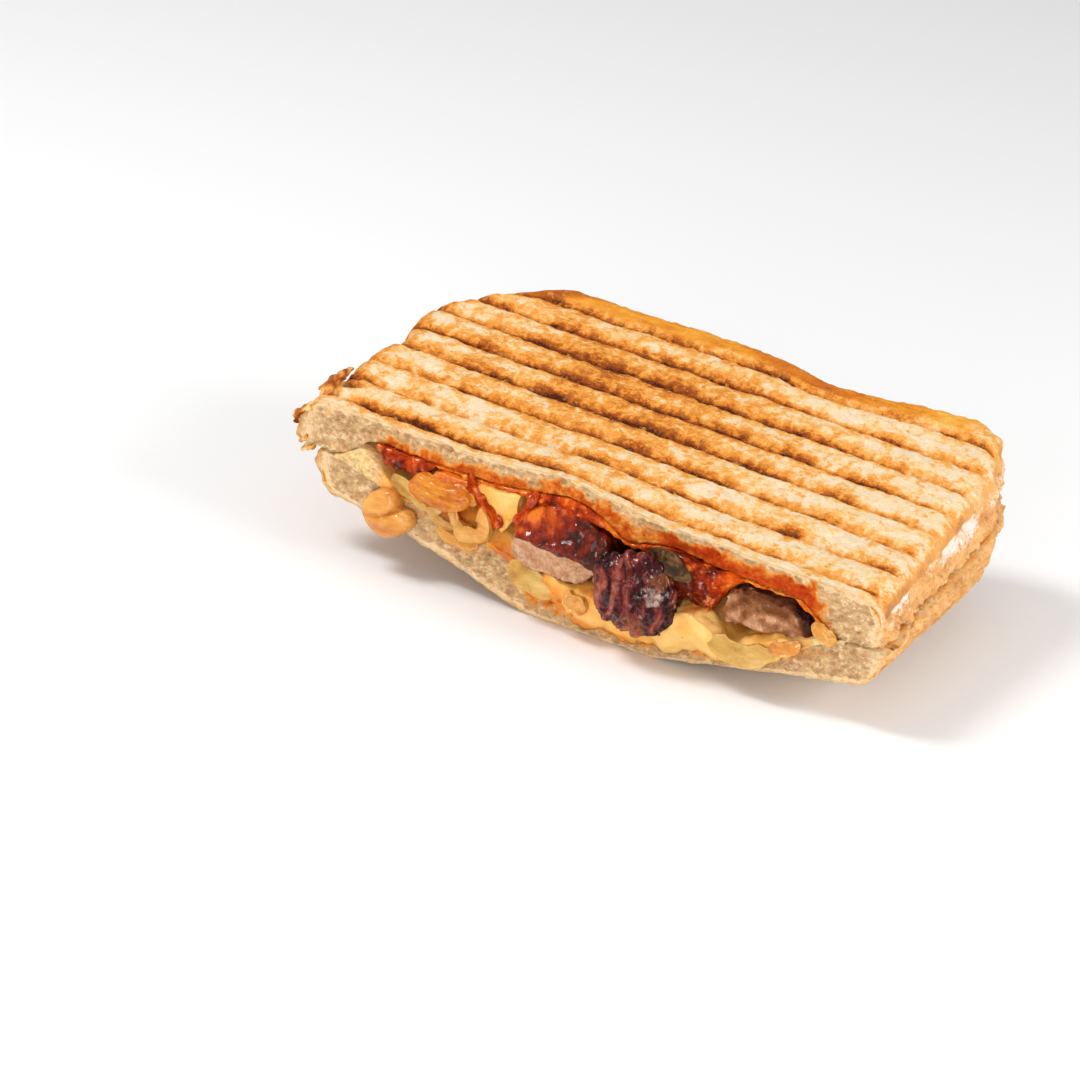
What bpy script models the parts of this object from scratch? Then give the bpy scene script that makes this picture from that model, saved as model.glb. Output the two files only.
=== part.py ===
"""Half of a pressed and grilled steak melt, lying on its belly with the knife cut at the front.

Two slices of bread hold cheese, sauce, three strips of steak, an olive slice and fried onion.
Lengths are millimetres until a mesh is made. X runs along the cut from left to right, Y from the
cut (y = 0) to the back crust, Z up from the surface that the half lies on.
"""

from itertools import product
from math import cos, exp, pi, sin, sqrt

import bmesh
import bpy
from mathutils import Vector, noise

MM = 0.001
GAP = 0.35
# Tried in turn, until a carved piece is closed.
WELDS = (0.02, 0.03, 0.04, 0.06)
FLAT_ANGLES = (0.045, 0.035, 0.025, 0.015, 0.005)

# The half slice in plan.
CUT_LEFT = -4.0
CUT_RIGHT = 141.5
DEPTH = 84.0
SQUARE_DEPTH = 66.0
RIGHT_LEAN = 0.1
LEFT_CORNER = (48.0, 50.0)
LEFT_CORNER_RADII = (52.0, 33.7)
LEFT_PATCH_CORNER = (11.2, 73.8)
RIGHT_PATCH_CORNER = (129.0, 81.9)

# The half in height, and what pressing did to it.
CUT_TOP = 34.0
CUT_TOP_FALL = 0.034
BACK_RISE = 10.0 / 80.0
BULGE = 2.3
BULGE_X = 64.0
BELLY = (58.0, 88.0)
LEFT_LIFT = 13.0
RIGHT_LIFT = 10.6
CRUST_RADIUS = 5.0
TOP_CRUMB = 5.0
BOTTOM_CRUMB = 3.2
BACK_TOP_CRUMB = 10.0
BACK_BOTTOM_CRUMB = 8.0
CREST_RELIEF = 0.2

# The grill bars press the same grooves into both faces.
BARS = 8
BAR_PITCH = 9.85
FIRST_BAR = 4.8
BAR_HALF_WIDTH = 2.3
BAR_DEPTH = 1.7

RIBBON_AROUND = 8

# The middle of the half's box, which becomes the origin.
BOX_MIDDLE = (68.56, 38.62)


def bump(value, middle, width):
    return exp(-(((value - middle) / width) ** 2))


def smooth(start, end, value):
    t = min(1.0, max(0.0, (value - start) / (end - start)))
    return t * t * (3.0 - 2.0 * t)


def plateau(value, start, end, ramp):
    return smooth(start - ramp, start + ramp, value) * smooth(end + ramp, end - ramp, value)


def mix(a, b, t):
    return a + (b - a) * t


def crag(x, y, z, size, height):
    return height * noise.noise(Vector((x / size, y / size, z / size)))


# Plan and height of the slices


def left_edge(y):
    """The torn left crust, with a notch and a step where the bars cut it."""
    arc = min(1.0, max(0.0, (y - LEFT_CORNER[1]) / LEFT_CORNER_RADII[1]))
    x = LEFT_CORNER[0] - LEFT_CORNER_RADII[0] * sqrt(1.0 - arc * arc)
    return x + 5.5 * bump(y, 10.5, 2.4) + 2.0 * bump(y, 37.0, 3.5)


def right_edge(y):
    return CUT_RIGHT - RIGHT_LEAN * y


def back_edge(x):
    """The back crust, with the dip between the loaf's two crowns."""
    return DEPTH + 2.0 * smooth(98.0, 120.0, x) - 6.5 * bump(x, 87.0, 13.0)


def plan(s, v):
    """Place of a point s of the way along the cut and v back from it."""
    depth = min(v, SQUARE_DEPTH)
    x = mix(left_edge(depth), right_edge(depth), s)
    if v <= SQUARE_DEPTH:
        return x, v
    back_x = mix(LEFT_PATCH_CORNER[0], RIGHT_PATCH_CORNER[0], s)
    corner_y = mix(LEFT_PATCH_CORNER[1], RIGHT_PATCH_CORNER[1], s)
    back_y = mix(corner_y, back_edge(back_x), smooth(0.0, 0.1, s) * smooth(1.0, 0.93, s))
    t = (v - SQUARE_DEPTH) / (DEPTH - SQUARE_DEPTH)
    swell = 1.5 * sin(pi * t) * (s < 0.001)
    return mix(x, back_x, t) - swell, mix(SQUARE_DEPTH, back_y, t) + swell


def edge_distance(s, v):
    length = CUT_RIGHT - CUT_LEFT
    return min(s * length, (1.0 - s) * length, DEPTH - v)


def crust_drop(distance):
    inside = max(0.0, CRUST_RADIUS - distance)
    return 0.8 * (CRUST_RADIUS - sqrt(CRUST_RADIUS**2 - inside**2))


def bar_groove(v, distance):
    """Depth of the pressed grooves, which fade out on the rounded crust."""
    nearest = min(abs(v - FIRST_BAR - k * BAR_PITCH) for k in range(BARS))
    wave = cos(min(1.0, nearest / BAR_HALF_WIDTH) * pi / 2.0)
    return BAR_DEPTH * wave * smooth(0.0, 4.0, distance + 1.0)


def top_height(x, y):
    bulge = BULGE * bump(x, BULGE_X, 14.0) * exp(-max(y, 0.0) / 15.0)
    return CUT_TOP - CUT_TOP_FALL * x + bulge + BACK_RISE * y


def belly_height(x, y):
    """Under side of the bottom slice, bent up to both ends like a shallow boat."""
    left = min(1.0, max(0.0, (x - CUT_LEFT) / (BELLY[0] - CUT_LEFT)))
    right = max(0.0, (x - BELLY[1]) / (CUT_RIGHT - BELLY[1]))
    heel = 3.0 * smooth(60.0, 86.0, y)
    return LEFT_LIFT * max(0.0, cos(left * pi / 2.0)) ** 1.1 + RIGHT_LIFT * right**0.95 + heel


def seam_height(x, y):
    return (top_height(x, y) + belly_height(x, y)) / 2.0 - 1.0


def ceiling(x, y):
    """Under side of the top slice."""
    crumb = TOP_CRUMB - 1.2 * bump(x, 67.0, 8.0) + 2.2 * bump(x, 80.0, 4.5) - 0.9 * bump(x, 93.0, 5.0)
    crumb = mix(crumb, BACK_TOP_CRUMB, smooth(0.0, 50.0, y))
    inside = top_height(x, y) - crumb
    closing = 1.0 - smooth(8.0, 20.0, slice_distance(x, y))
    return mix(inside, seam_height(x, y) + GAP, closing)


def floor(x, y):
    """Upper side of the bottom slice."""
    crumb = BOTTOM_CRUMB + 6.2 * smooth(74.0, 50.0, x) - 2.2 * smooth(36.0, 20.0, x)
    crumb += 2.0 * smooth(106.0, 126.0, x)
    crumb = mix(crumb, BACK_BOTTOM_CRUMB, smooth(0.0, 50.0, y))
    inside = belly_height(x, y) + crumb
    closing = 1.0 - smooth(5.0, 23.0, slice_distance(x, y))
    return mix(inside, seam_height(x, y) - GAP, closing)


def slice_distance(x, y):
    """Rough distance inside the crust, for a place given in x and y."""
    ends = min(x - CUT_LEFT - 0.9 * max(0.0, y - 45.0), right_edge(y) - x)
    return max(0.0, min(ends, back_edge(x) - y))


# Meshes


def new_material(name, colour, roughness):
    material = bpy.data.materials.new(name)
    material.use_nodes = True
    shader = material.node_tree.nodes["Principled BSDF"]
    shader.inputs["Base Color"].default_value = (*colour, 1.0)
    shader.inputs["Roughness"].default_value = roughness
    material.diffuse_color = (*colour, 1.0)
    return material


def finish_mesh(name, mesh, material):
    """Moves the bmesh to the row's frame and metres, and makes it one smooth-shaded object."""
    for vertex in mesh.verts:
        x, y, z = vertex.co
        vertex.co = ((x - BOX_MIDDLE[0]) * MM, (y - BOX_MIDDLE[1]) * MM, z * MM)
    bmesh.ops.triangulate(mesh, faces=mesh.faces[:])
    bmesh.ops.recalc_face_normals(mesh, faces=mesh.faces[:])
    data = bpy.data.meshes.new(name)
    mesh.to_mesh(data)
    mesh.free()
    data.materials.append(material)
    data.shade_smooth()
    piece = bpy.data.objects.new(name, data)
    melt.objects.link(piece)
    return piece


def slab(name, material, columns, rows, plain_rows, shaped, plain, wall, levels=3):
    """A closed slab: one shaped face over all rows, one plain face over some, and walls between."""
    mesh = bmesh.new()
    shaped_grid = [[mesh.verts.new(shaped(s, v)) for v in rows] for s in columns]
    plain_grid = [[mesh.verts.new(plain(s, rows[j])) for j in plain_rows] for s in columns]
    last_column = len(columns) - 1
    last_row = len(plain_rows) - 1

    wall_verts = {}
    for i, s in enumerate(columns):
        for k, j in enumerate(plain_rows):
            if i in (0, last_column) or k in (0, last_row):
                top = shaped_grid[i][j].co
                bottom = plain_grid[i][k].co
                places = [wall(s, rows[j], top, bottom, n / levels) for n in range(1, levels)]
                middle = [mesh.verts.new(place) for place in places]
                wall_verts[i, k] = [shaped_grid[i][j], *middle, plain_grid[i][k]]

    for i in range(last_column):
        left, right = shaped_grid[i], shaped_grid[i + 1]
        for j in range(len(rows) - 1):
            mesh.faces.new([left[j], right[j], right[j + 1], left[j + 1]])
        left, right = plain_grid[i], plain_grid[i + 1]
        for k in range(last_row):
            mesh.faces.new([left[k], left[k + 1], right[k + 1], right[k]])
        for k in (0, last_row):
            here, there = wall_verts[i, k], wall_verts[i + 1, k]
            for n in range(levels):
                mesh.faces.new([here[n], here[n + 1], there[n + 1], there[n]])
    for i in (0, last_column):
        for k in range(last_row):
            here, there = wall_verts[i, k], wall_verts[i, k + 1]
            edge = shaped_grid[i][plain_rows[k] : plain_rows[k + 1] + 1]
            half = len(edge) // 2
            for n in range(len(edge) - 1):
                mesh.faces.new([here[1] if n < half else there[1], edge[n], edge[n + 1]])
            mesh.faces.new([here[1], edge[half], there[1]])
            for n in range(1, levels):
                mesh.faces.new([here[n], here[n + 1], there[n + 1], there[n]])
    return finish_mesh(name, mesh, material)


def tube(name, material, rings, first, last):
    """A closed lump through rings of points, ending in a point at each end."""
    mesh = bmesh.new()
    loops = [[mesh.verts.new(point) for point in ring] for ring in rings]
    count = len(loops[0])
    for here, there in zip(loops, loops[1:]):
        for n in range(count):
            m = (n + 1) % count
            mesh.faces.new([here[n], here[m], there[m], there[n]])
    for loop, point in ((loops[0], first), (loops[-1], last)):
        pole = mesh.verts.new(point)
        for n in range(count):
            mesh.faces.new([loop[n], loop[(n + 1) % count], pole])
    return finish_mesh(name, mesh, material)


def rounded(angle, power):
    """A point of a rounded square, from -1 to 1 each way."""
    c, s = cos(angle), sin(angle)
    return abs(c) ** power * (1 if c >= 0 else -1), abs(s) ** power * (1 if s >= 0 else -1)


def ribbon(name, material, path, across, width, thickness):
    """A strip of onion along a path, thinning to its two ends; across is the way its width points."""
    steps = max(8, round((Vector(path(0.0)) - Vector(path(0.5))).length * 2.0))
    rings = []
    for k in range(1, steps):
        t = k / steps
        middle = Vector(path(t))
        ahead = (Vector(path(t + 0.01)) - Vector(path(t - 0.01))).normalized()
        side = Vector(across)
        side = (side - ahead * side.dot(ahead)).normalized()
        up = ahead.cross(side)
        end = min(1.0, 1.25 * sin(pi * t) ** 0.45)
        ring = []
        for n in range(RIBBON_AROUND):
            u, w = rounded(2.0 * pi * n / RIBBON_AROUND, 0.8)
            ring.append(middle + (side * (u * width) + up * (w * thickness)) * (end / 2.0))
        rings.append(ring)
    return tube(name, material, rings, path(0.0), path(1.0))


def carve(soft, tools):
    """Cuts room for the firmer pieces out of a soft one, with a gap all round them."""
    for tool in tools:
        cutter = tool.copy()
        cutter.data = tool.data.copy()
        cutter.name = f"{soft.name}_{tool.name}_room"
        shape = bmesh.new()
        shape.from_mesh(cutter.data)
        shape.normal_update()
        for vertex in shape.verts:
            vertex.co += vertex.normal * GAP * MM
        shape.to_mesh(cutter.data)
        shape.free()
        cutter.hide_render = True
        cutter.display_type = "WIRE"
        cutters.objects.link(cutter)
        cut = soft.modifiers.new("room", "BOOLEAN")
        cut.operation = "DIFFERENCE"
        cut.solver = "EXACT"
        cut.object = cutter
    bpy.context.view_layer.update()
    graph = bpy.context.evaluated_depsgraph_get()
    carved = bpy.data.meshes.new_from_object(soft.evaluated_get(graph))
    soft.modifiers.clear()
    soft.data = cleaned(carved)
    soft.data.shade_smooth()
    for obj in list(cutters.objects):
        bpy.data.objects.remove(obj)


def cleaned(carved):
    """The largest body of a mesh with its flat faces joined, as far as it stays closed."""
    result = carved.copy()
    for weld, flat_angle in product(WELDS, FLAT_ANGLES):
        shape = bmesh.new()
        shape.from_mesh(carved)
        bmesh.ops.remove_doubles(shape, verts=shape.verts[:], dist=weld * MM)
        islands = connected(shape)
        main = max(islands, key=len)
        loose = [vertex for island in islands if island is not main for vertex in island]
        bmesh.ops.delete(shape, geom=loose, context="VERTS")
        edges = shape.edges[:]
        bmesh.ops.dissolve_limit(shape, angle_limit=flat_angle, verts=shape.verts[:], edges=edges)
        bmesh.ops.triangulate(shape, faces=shape.faces[:])
        shape.to_mesh(result)
        done = is_closed(shape)
        shape.free()
        if done:
            break
    return result


def is_closed(shape):
    """True where each edge joins two faces, also after points at the same place are taken as one."""
    uses = {}
    for face in shape.faces:
        corners = [tuple(round(value / MM, 3) for value in vertex.co) for vertex in face.verts]
        for here, there in zip(corners, corners[1:] + corners[:1]):
            key = (min(here, there), max(here, there))
            uses[key] = uses.get(key, 0) + 1
    return all(count == 2 for count in uses.values())


def connected(shape):
    """The vertices of each separate body of a bmesh."""
    waiting = set(shape.verts)
    islands = []
    while waiting:
        front = [waiting.pop()]
        island = set(front)
        while front:
            for edge in front.pop().link_edges:
                for vertex in edge.verts:
                    if vertex in waiting:
                        waiting.discard(vertex)
                        island.add(vertex)
                        front.append(vertex)
        islands.append(island)
    return islands


# Start with an empty scene

for leftover in list(bpy.data.objects):
    bpy.data.objects.remove(leftover)
melt = bpy.data.collections.new("steak_melt")
cutters = bpy.data.collections.new("cutters")
bpy.context.scene.collection.children.link(melt)
bpy.context.scene.collection.children.link(cutters)

bread = new_material("toasted_bread", (0.78, 0.50, 0.20), 0.8)
cheese = new_material("melted_cheese", (0.88, 0.62, 0.24), 0.35)
tomato = new_material("tomato_sauce", (0.55, 0.07, 0.01), 0.3)
beef = new_material("cooked_beef", (0.45, 0.24, 0.16), 0.5)
seared = new_material("seared_beef", (0.10, 0.03, 0.03), 0.3)
fried_onion = new_material("fried_onion", (0.80, 0.58, 0.26), 0.3)
olive_flesh = new_material("olive_flesh", (0.13, 0.09, 0.03), 0.3)


# The two slices, each with crust on three sides and crumb at the cut

bar_sides = (-BAR_HALF_WIDTH, 0.0, BAR_HALF_WIDTH)
bar_rows = [FIRST_BAR + k * BAR_PITCH + side for k in range(BARS) for side in bar_sides]
slice_rows = [0.0, *bar_rows, 79.5, 82.5, DEPTH]
slice_plain_rows = [0, *range(2, 2 + 3 * BARS, 3), len(slice_rows) - 3, len(slice_rows) - 1]
end_columns = [0.0, 0.01, 0.031]
inner_columns = [0.07 + 0.86 * k / 11 for k in range(12)]
slice_columns = [*end_columns, *inner_columns, *[1.0 - s for s in reversed(end_columns)]]


def crust_wall(s, v, top, bottom, t):
    """The side of a slice: crumb at the cut, and a rough crust that swells out on the other sides."""
    x, y, z = mix(top, bottom, t)
    if v == 0.0:
        return x, y + 0.25 + crag(x, 3.0, z, 4.0, 0.5), z
    outward = Vector((x - 70.0, y - 30.0, 0.0))
    outward.x *= 3.0 if s in (0.0, 1.0) else 0.3
    outward.normalize()
    swell = 1.3 * sin(pi * t) + crag(x, y, z, 5.0, 1.4)
    return x + outward.x * swell, y + outward.y * swell, z


def top_shaped(s, v):
    x, y = plan(s, v)
    distance = edge_distance(s, v)
    curl = 1.8 * bump(y, 7.5, 3.0) * bump(x, CUT_LEFT + 1.0, 3.0)
    relief = crag(x, y, 0.0, 9.0, 0.35)
    return x, y, top_height(x, y) - crust_drop(distance) - bar_groove(v, distance) + relief + curl


def top_plain(s, v):
    x, y = plan(s, v)
    return x, y, ceiling(x, y)


def bottom_plan(s, v):
    """The bottom slice is a little shorter, most of all at the front."""
    x, y = plan(s, v)
    from_left = 1.0 - smooth(0.0, 0.2, s)
    from_right = smooth(0.8, 1.0, s)
    return x + from_left * (1.0 + 4.5 * exp(-y / 25.0)) - 1.5 * from_right, y * (1.0 - 1.0 / DEPTH)


def bottom_shaped(s, v):
    x, y = bottom_plan(s, v)
    distance = edge_distance(s, v)
    height = belly_height(x, y) + crust_drop(distance) + bar_groove(v, distance)
    return x, y, max(0.0, height + crag(x, y, 50.0, 9.0, CREST_RELIEF) - CREST_RELIEF)


def bottom_plain(s, v):
    x, y = bottom_plan(s, v)
    return x, y, floor(x, y)


slice_grid = (slice_columns, slice_rows, slice_plain_rows)
bread_top = slab("bread_top", bread, *slice_grid, top_shaped, top_plain, crust_wall)
bread_bottom = slab("bread_bottom", bread, *slice_grid, bottom_shaped, bottom_plain, crust_wall)
slices = [bread_top, bread_bottom]


# Steak: two sliced strips, and one seared lump that hangs out of the cut

STEAK_AROUND = 14
SEARED_AROUND = 24
LEFT_STEAK_X = 64.8
SEARED_MIDDLE = (86.3, 16.0)
SEARED_RADIUS = 9.5
RIGHT_STEAK_X = 116.0


def steak_left():
    """A strip that has slid out, so that its coated top slopes down to a cut face."""
    rings = []
    for y in (-5.0, -4.4, -2.5, 0.0, 4.0, 12.0, 22.0, 34.0, 46.0, 52.0):
        inner = max(y, 0.0)
        end = 0.4 + 0.6 * smooth(58.0, 46.0, y)
        middle_x = mix(LEFT_STEAK_X, 62.0, smooth(-5.0, 50.0, y))
        half_width = mix(10.9, 9.0, smooth(0.0, 50.0, y)) * end
        slope = 28.0 + 1.6 * min(0.0, y) - 0.4 * (y < -4.8)
        ring = []
        for n in range(STEAK_AROUND):
            u, w = rounded(2.0 * pi * n / STEAK_AROUND, 0.6)
            x = middle_x + u * half_width
            high = min(slope, ceiling(x, inner) - 2.6)
            low = 11.5 + 3.0 * smooth(0.0, 30.0, y) + 0.03 * (65.0 - x) * (y < 3.0)
            z = mix(low, high, 0.5 + w * end / 2.0)
            lean = 1.2 * (1.0 - w) * smooth(1.0, -5.0, y)
            ring.append((x + crag(x, y, z, 5.0, 0.7), y + lean, z + crag(x, y, z + 9.0, 5.0, 0.5)))
        rings.append(ring)
    return tube("steak_left", beef, rings, (65.5, -4.1, 15.8), (62.0, 54.0, 21.0))


def steak_seared():
    """A dark lump with deep muscle grain that hangs over the cheese."""
    stations = (
        (-9.6, 0.45), (-9.0, 0.70), (-7.6, 0.88), (-5.6, 0.98), (-3.0, 1.0), (-0.6, 0.95),
        (3.0, 0.84), (10.0, 0.72), (18.0, 0.60), (23.0, 0.40),
    )
    rings = []
    for y, size in stations:
        lift = 1.5 * smooth(-4.0, 8.0, y)
        ring = []
        for n in range(SEARED_AROUND):
            u, w = rounded(2.0 * pi * n / SEARED_AROUND, 0.75)
            across = u * SEARED_RADIUS * size
            up = w * SEARED_RADIUS * size
            fibre = sin(1.45 * across + 0.05 * up * up + 0.6)
            lump = crag(u, w, y / SEARED_RADIUS, 0.75, 1.7)
            x = SEARED_MIDDLE[0] + across + lump * u - 0.4
            z = SEARED_MIDDLE[1] + lift + up * (1.0 + 0.06 * fibre) + lump * w
            if y > -1.0:
                z = min(z, ceiling(x, max(y, 0.0)) - 1.4)
            ring.append((x, y + 0.75 * fibre * (y < -2.0), z))
        rings.append(ring)
    return tube("steak_seared", seared, rings, (86.0, -10.0, 15.0), (86.3, 24.5, 17.0))


def steak_right():
    """A strip set back in the bread, browned on top."""
    rings = []
    for y in (-1.6, -0.9, 2.0, 8.0, 16.0, 26.0, 36.0, 44.0, 48.0):
        inner = max(y, 0.0)
        end = smooth(53.0, 42.0, y) * smooth(-3.2, -0.9, y)
        half_width = 10.2 * (0.5 + 0.5 * end)
        ring = []
        for n in range(STEAK_AROUND):
            u, w = rounded(2.0 * pi * n / STEAK_AROUND, 0.6)
            x = RIGHT_STEAK_X - 0.06 * y + u * half_width
            tilt = x - 106.0
            high = min(22.6 + 0.04 * tilt + 0.07 * inner, ceiling(x, inner) - 2.4)
            low = max(14.6 + 0.11 * tilt + 0.02 * y, floor(x, inner) + 1.6)
            z = mix(low, high, 0.5 + w * (0.3 + 0.2 * end))
            ring.append((x + crag(x, y, z, 5.0, 0.6), y, z + crag(x, y, z + 9.0, 5.0, 0.5)))
        rings.append(ring)
    return tube("steak_right", beef, rings, (116.2, -1.9, 19.0), (113.0, 49.5, 21.5))


def olive_slice():
    """A slice of black olive, folded over the seared steak."""
    start, end = Vector((88.0, -3.4, 25.6)), Vector((98.2, -3.4, 22.1))
    rings = []
    for k in range(1, 8):
        t = k / 8.0
        middle = start.lerp(end, t)
        middle.y -= 1.6 * sin(pi * t)
        size = sin(pi * t) ** 0.5
        ring = []
        for n in range(10):
            angle = 2.0 * pi * n / 10.0
            ring.append(middle + Vector((0.0, 1.9 * cos(angle), 2.1 * sin(angle))) * size)
        rings.append(ring)
    return tube("olive_slice", olive_flesh, rings, start, end)


steaks = [steak_left(), steak_seared(), steak_right()]
olive = olive_slice()
carve(olive, [bread_top, *steaks])
firm = [*slices, *steaks, olive]


# Fried onion: each strip keeps the curve of the onion's layer


def arc_path(middle, radius, start, turn, y):
    """A path round part of a circle that faces the front."""

    def path(t):
        angle = (start + turn * t) * pi / 180.0
        return (middle[0] + radius * cos(angle), y, middle[1] + radius * sin(angle))

    return path


def line_path(start, end, sag):
    def path(t):
        x, y, z = (mix(a, b, t) for a, b in zip(start, end))
        return (x, y, z - sag * sin(pi * t))

    return path


FACING = (0.0, 1.0, 0.0)
UPRIGHT = (0.0, 0.35, 1.0)
LEANING = (0.25, 0.0, 1.0)

# Name, path, which way the width points, width and thickness.
onion_cuts = [
    ("onion_hook", arc_path((20.6, 13.4), 4.3, 72.0, 265.0, -2.1), FACING, 3.2, 4.0),
    ("onion_curl", arc_path((42.3, 18.4), 3.8, 60.0, -200.0, -2.1), FACING, 3.0, 3.4),
    ("onion_tail", line_path((44.6, -1.5, 12.4), (34.0, -1.3, 12.2), 0.8), UPRIGHT, 2.6, 1.3),
    ("onion_strip", line_path((20.5, -1.0, 22.4), (33.5, -1.4, 18.0), 0.8), LEANING, 3.4, 1.5),
    ("onion_petal", line_path((24.5, -1.9, 23.6), (39.6, -2.2, 22.8), -0.9), UPRIGHT, 4.6, 2.8),
    ("onion_wedge", line_path((52.0, -1.9, 10.4), (65.0, -2.6, 7.2), 0.7), UPRIGHT, 4.2, 2.2),
    ("onion_cube", line_path((67.4, -4.2, 8.4), (73.4, -4.4, 6.0), 0.0), LEANING, 4.2, 3.2),
    ("onion_leaf", line_path((104.6, -3.2, 11.6), (120.5, -3.0, 12.2), 2.2), UPRIGHT, 4.2, 1.5),
    ("onion_end", line_path((127.2, -1.4, 20.8), (133.0, -1.6, 18.4), 0.2), LEANING, 4.2, 1.8),
]
onions = [ribbon(name, fried_onion, *cut) for name, *cut in onion_cuts]


# Cheese: a bed that wells over the cut, and a fold that hangs from the top slice


def bed_front(x):
    return -0.8 - 2.4 * plateau(x, 62.0, 106.0, 5.0) - 0.8 * plateau(x, 108.0, 125.0, 3.0)


def bed_thickness(x, y):
    """Thin at the cut, and deep between the steaks further in."""
    at_cut = 1.8 + 3.5 * plateau(x, 4.0, 17.0, 3.0) + 6.5 * plateau(x, 60.0, 104.0, 6.0)
    at_cut += 2.4 * plateau(x, 108.0, 126.0, 4.0)
    inside = 11.0 - 6.0 * plateau(x, 50.0, 77.0, 5.0) - 6.0 * plateau(x, 103.0, 129.0, 5.0)
    return mix(at_cut, inside, smooth(2.0, 30.0, y))


def bed_roof(x, y):
    """The highest that the cheese may reach, which leaves room for the sauce."""
    return ceiling(x, y) - GAP - SAUCE_ROOM * smooth(13.0, 17.0, x)


BED_COLUMNS = 34
SAUCE_ROOM = 2.6
THINNEST = 0.7
bed_rows = [-2.0, -1.0, 0.5, 3.0, 8.0, 16.0, 28.0, 42.0, 56.0, 68.0]


def bed_x(s, y):
    """The cheese stops short of the crust, where the slices meet."""
    left = 5.5 + 3.0 * smooth(0.0, 10.0, y) + 0.9 * max(0.0, y - 45.0)
    return mix(left, 134.5 - 3.0 * smooth(0.0, 10.0, y) - 0.1 * max(y, 0.0), s)


def bed_top(s, v):
    y = v if v > 0.0 else mix(bed_front(bed_x(s, 0.0)), 0.0, (v + 2.0) / 2.0)
    x = bed_x(s, y)
    inner = max(y, 0.0)
    rounding = 1.6 * (1.0 - smooth(-2.5, 0.5, v))
    thick = bed_thickness(x, inner) - rounding * min(1.0, bed_thickness(x, inner) / 4.0)
    low = floor(x, inner) + GAP
    high = low + thick + crag(x, y, 2.0, 6.0, 0.5)
    return x, y, max(low + THINNEST, min(high, bed_roof(x, inner)))


def bed_under(s, v):
    """The under side hangs over the cut, turns round the bread's edge and follows the slice."""
    y = -0.6 if v < 0.0 else v
    x = bed_x(s, max(y, 0.0))
    hang = 1.9 * plateau(x, 62.0, 124.0, 4.0) * (v < -1.5)
    hang *= 0.75 + 0.5 * sin(0.55 * x)
    return x, y, floor(x, max(y, 0.0)) + GAP - hang


def bed_wall(s, v, top, bottom, t):
    x, y, z = mix(top, bottom, t)
    if v == bed_rows[0]:
        return x, y - 0.9 * sin(pi * t) * plateau(x, 60.0, 108.0, 4.0), z
    return x, y, z


bed_columns = [k / BED_COLUMNS for k in range(BED_COLUMNS + 1)]
bed_grid = (bed_columns, bed_rows, range(len(bed_rows)))
cheese_bed = slab("cheese_bed", cheese, *bed_grid, bed_top, bed_under, bed_wall)

FOLD_COLUMNS = 14
fold_rows = [-0.9, 0.0, 3.0, 9.0, 18.0, 30.0]


def fold_thickness(x, y):
    """Deepest at the wedge that hangs beside the left steak."""
    wedge = 7.5 * max(0.0, 1.0 - abs(x - 49.5) / 6.0)
    return 1.7 + (wedge + 1.6 * plateau(x, 33.0, 42.0, 3.0)) * exp(-max(0.0, y) / 6.0)


def fold_top(s, v):
    x = mix(31.0, 53.2, s)
    return x, v, ceiling(x, max(v, 0.0)) - 4.0 * GAP


def fold_under(s, v):
    x, y, z = fold_top(s, v)
    return x, y, z - fold_thickness(x, y)


def plain_wall(s, v, top, bottom, t):
    return mix(top, bottom, t)


fold_columns = [k / FOLD_COLUMNS for k in range(FOLD_COLUMNS + 1)]
fold_grid = (fold_columns, fold_rows, range(len(fold_rows)))
cheese_fold = slab("cheese_fold", cheese, *fold_grid, fold_top, fold_under, plain_wall)


# Tomato sauce: a film under the top slice, deep where it has run to the cut


def sauce_thickness(x, y):
    at_cut = 0.7 + 2.9 * plateau(x, 17.0, 29.0, 2.0) + 2.0 * plateau(x, 56.0, 74.0, 3.0)
    at_cut += 11.0 * plateau(x, 92.0, 104.0, 5.0)
    return mix(1.6, at_cut, exp(-((max(0.0, y) / 8.0) ** 2)))


def sauce_x(s, y):
    inset = 14.0 * smooth(4.0, 50.0, y)
    return mix(15.5 + 1.4 * inset, 128.5 - inset, s)


SAUCE_COLUMNS = 36
sauce_rows = [-0.8, 0.0, 2.5, 6.0, 12.0, 24.0, 40.0, 56.0, 66.0]


def sauce_top(s, v):
    x = sauce_x(s, v)
    y = v if v >= 0.0 else v - 0.9 * plateau(x, 90.0, 106.0, 3.0)
    return x, y, ceiling(x, max(v, 0.0)) - GAP


def sauce_under(s, v):
    x, y, z = sauce_top(s, v)
    inner = max(v, 0.0)
    thick = sauce_thickness(x, v) + crag(x, y, 7.0, 4.0, 0.3)
    bed = min(floor(x, inner) + bed_thickness(x, inner) + GAP, bed_roof(x, inner))
    return x, y, min(z - 0.6, max(bed + 3.0 * GAP, z - thick))


def sauce_wall(s, v, top, bottom, t):
    x, y, z = mix(top, bottom, t)
    if v == sauce_rows[0]:
        return x, y - 1.1 * sin(pi * t) * plateau(x, 90.0, 106.0, 3.0), z
    return x, y, z


sauce_columns = [k / SAUCE_COLUMNS for k in range(SAUCE_COLUMNS + 1)]
sauce_grid = (sauce_columns, sauce_rows, range(len(sauce_rows)))
sauce = slab("sauce", tomato, *sauce_grid, sauce_top, sauce_under, sauce_wall)

carve(cheese_fold, [*firm, *onions])
carve(cheese_bed, [*firm, *onions, cheese_fold])
carve(sauce, [*firm, *onions, cheese_fold])
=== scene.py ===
import bmesh
import bpy
import numpy as np
from mathutils import Matrix, Vector, noise


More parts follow.
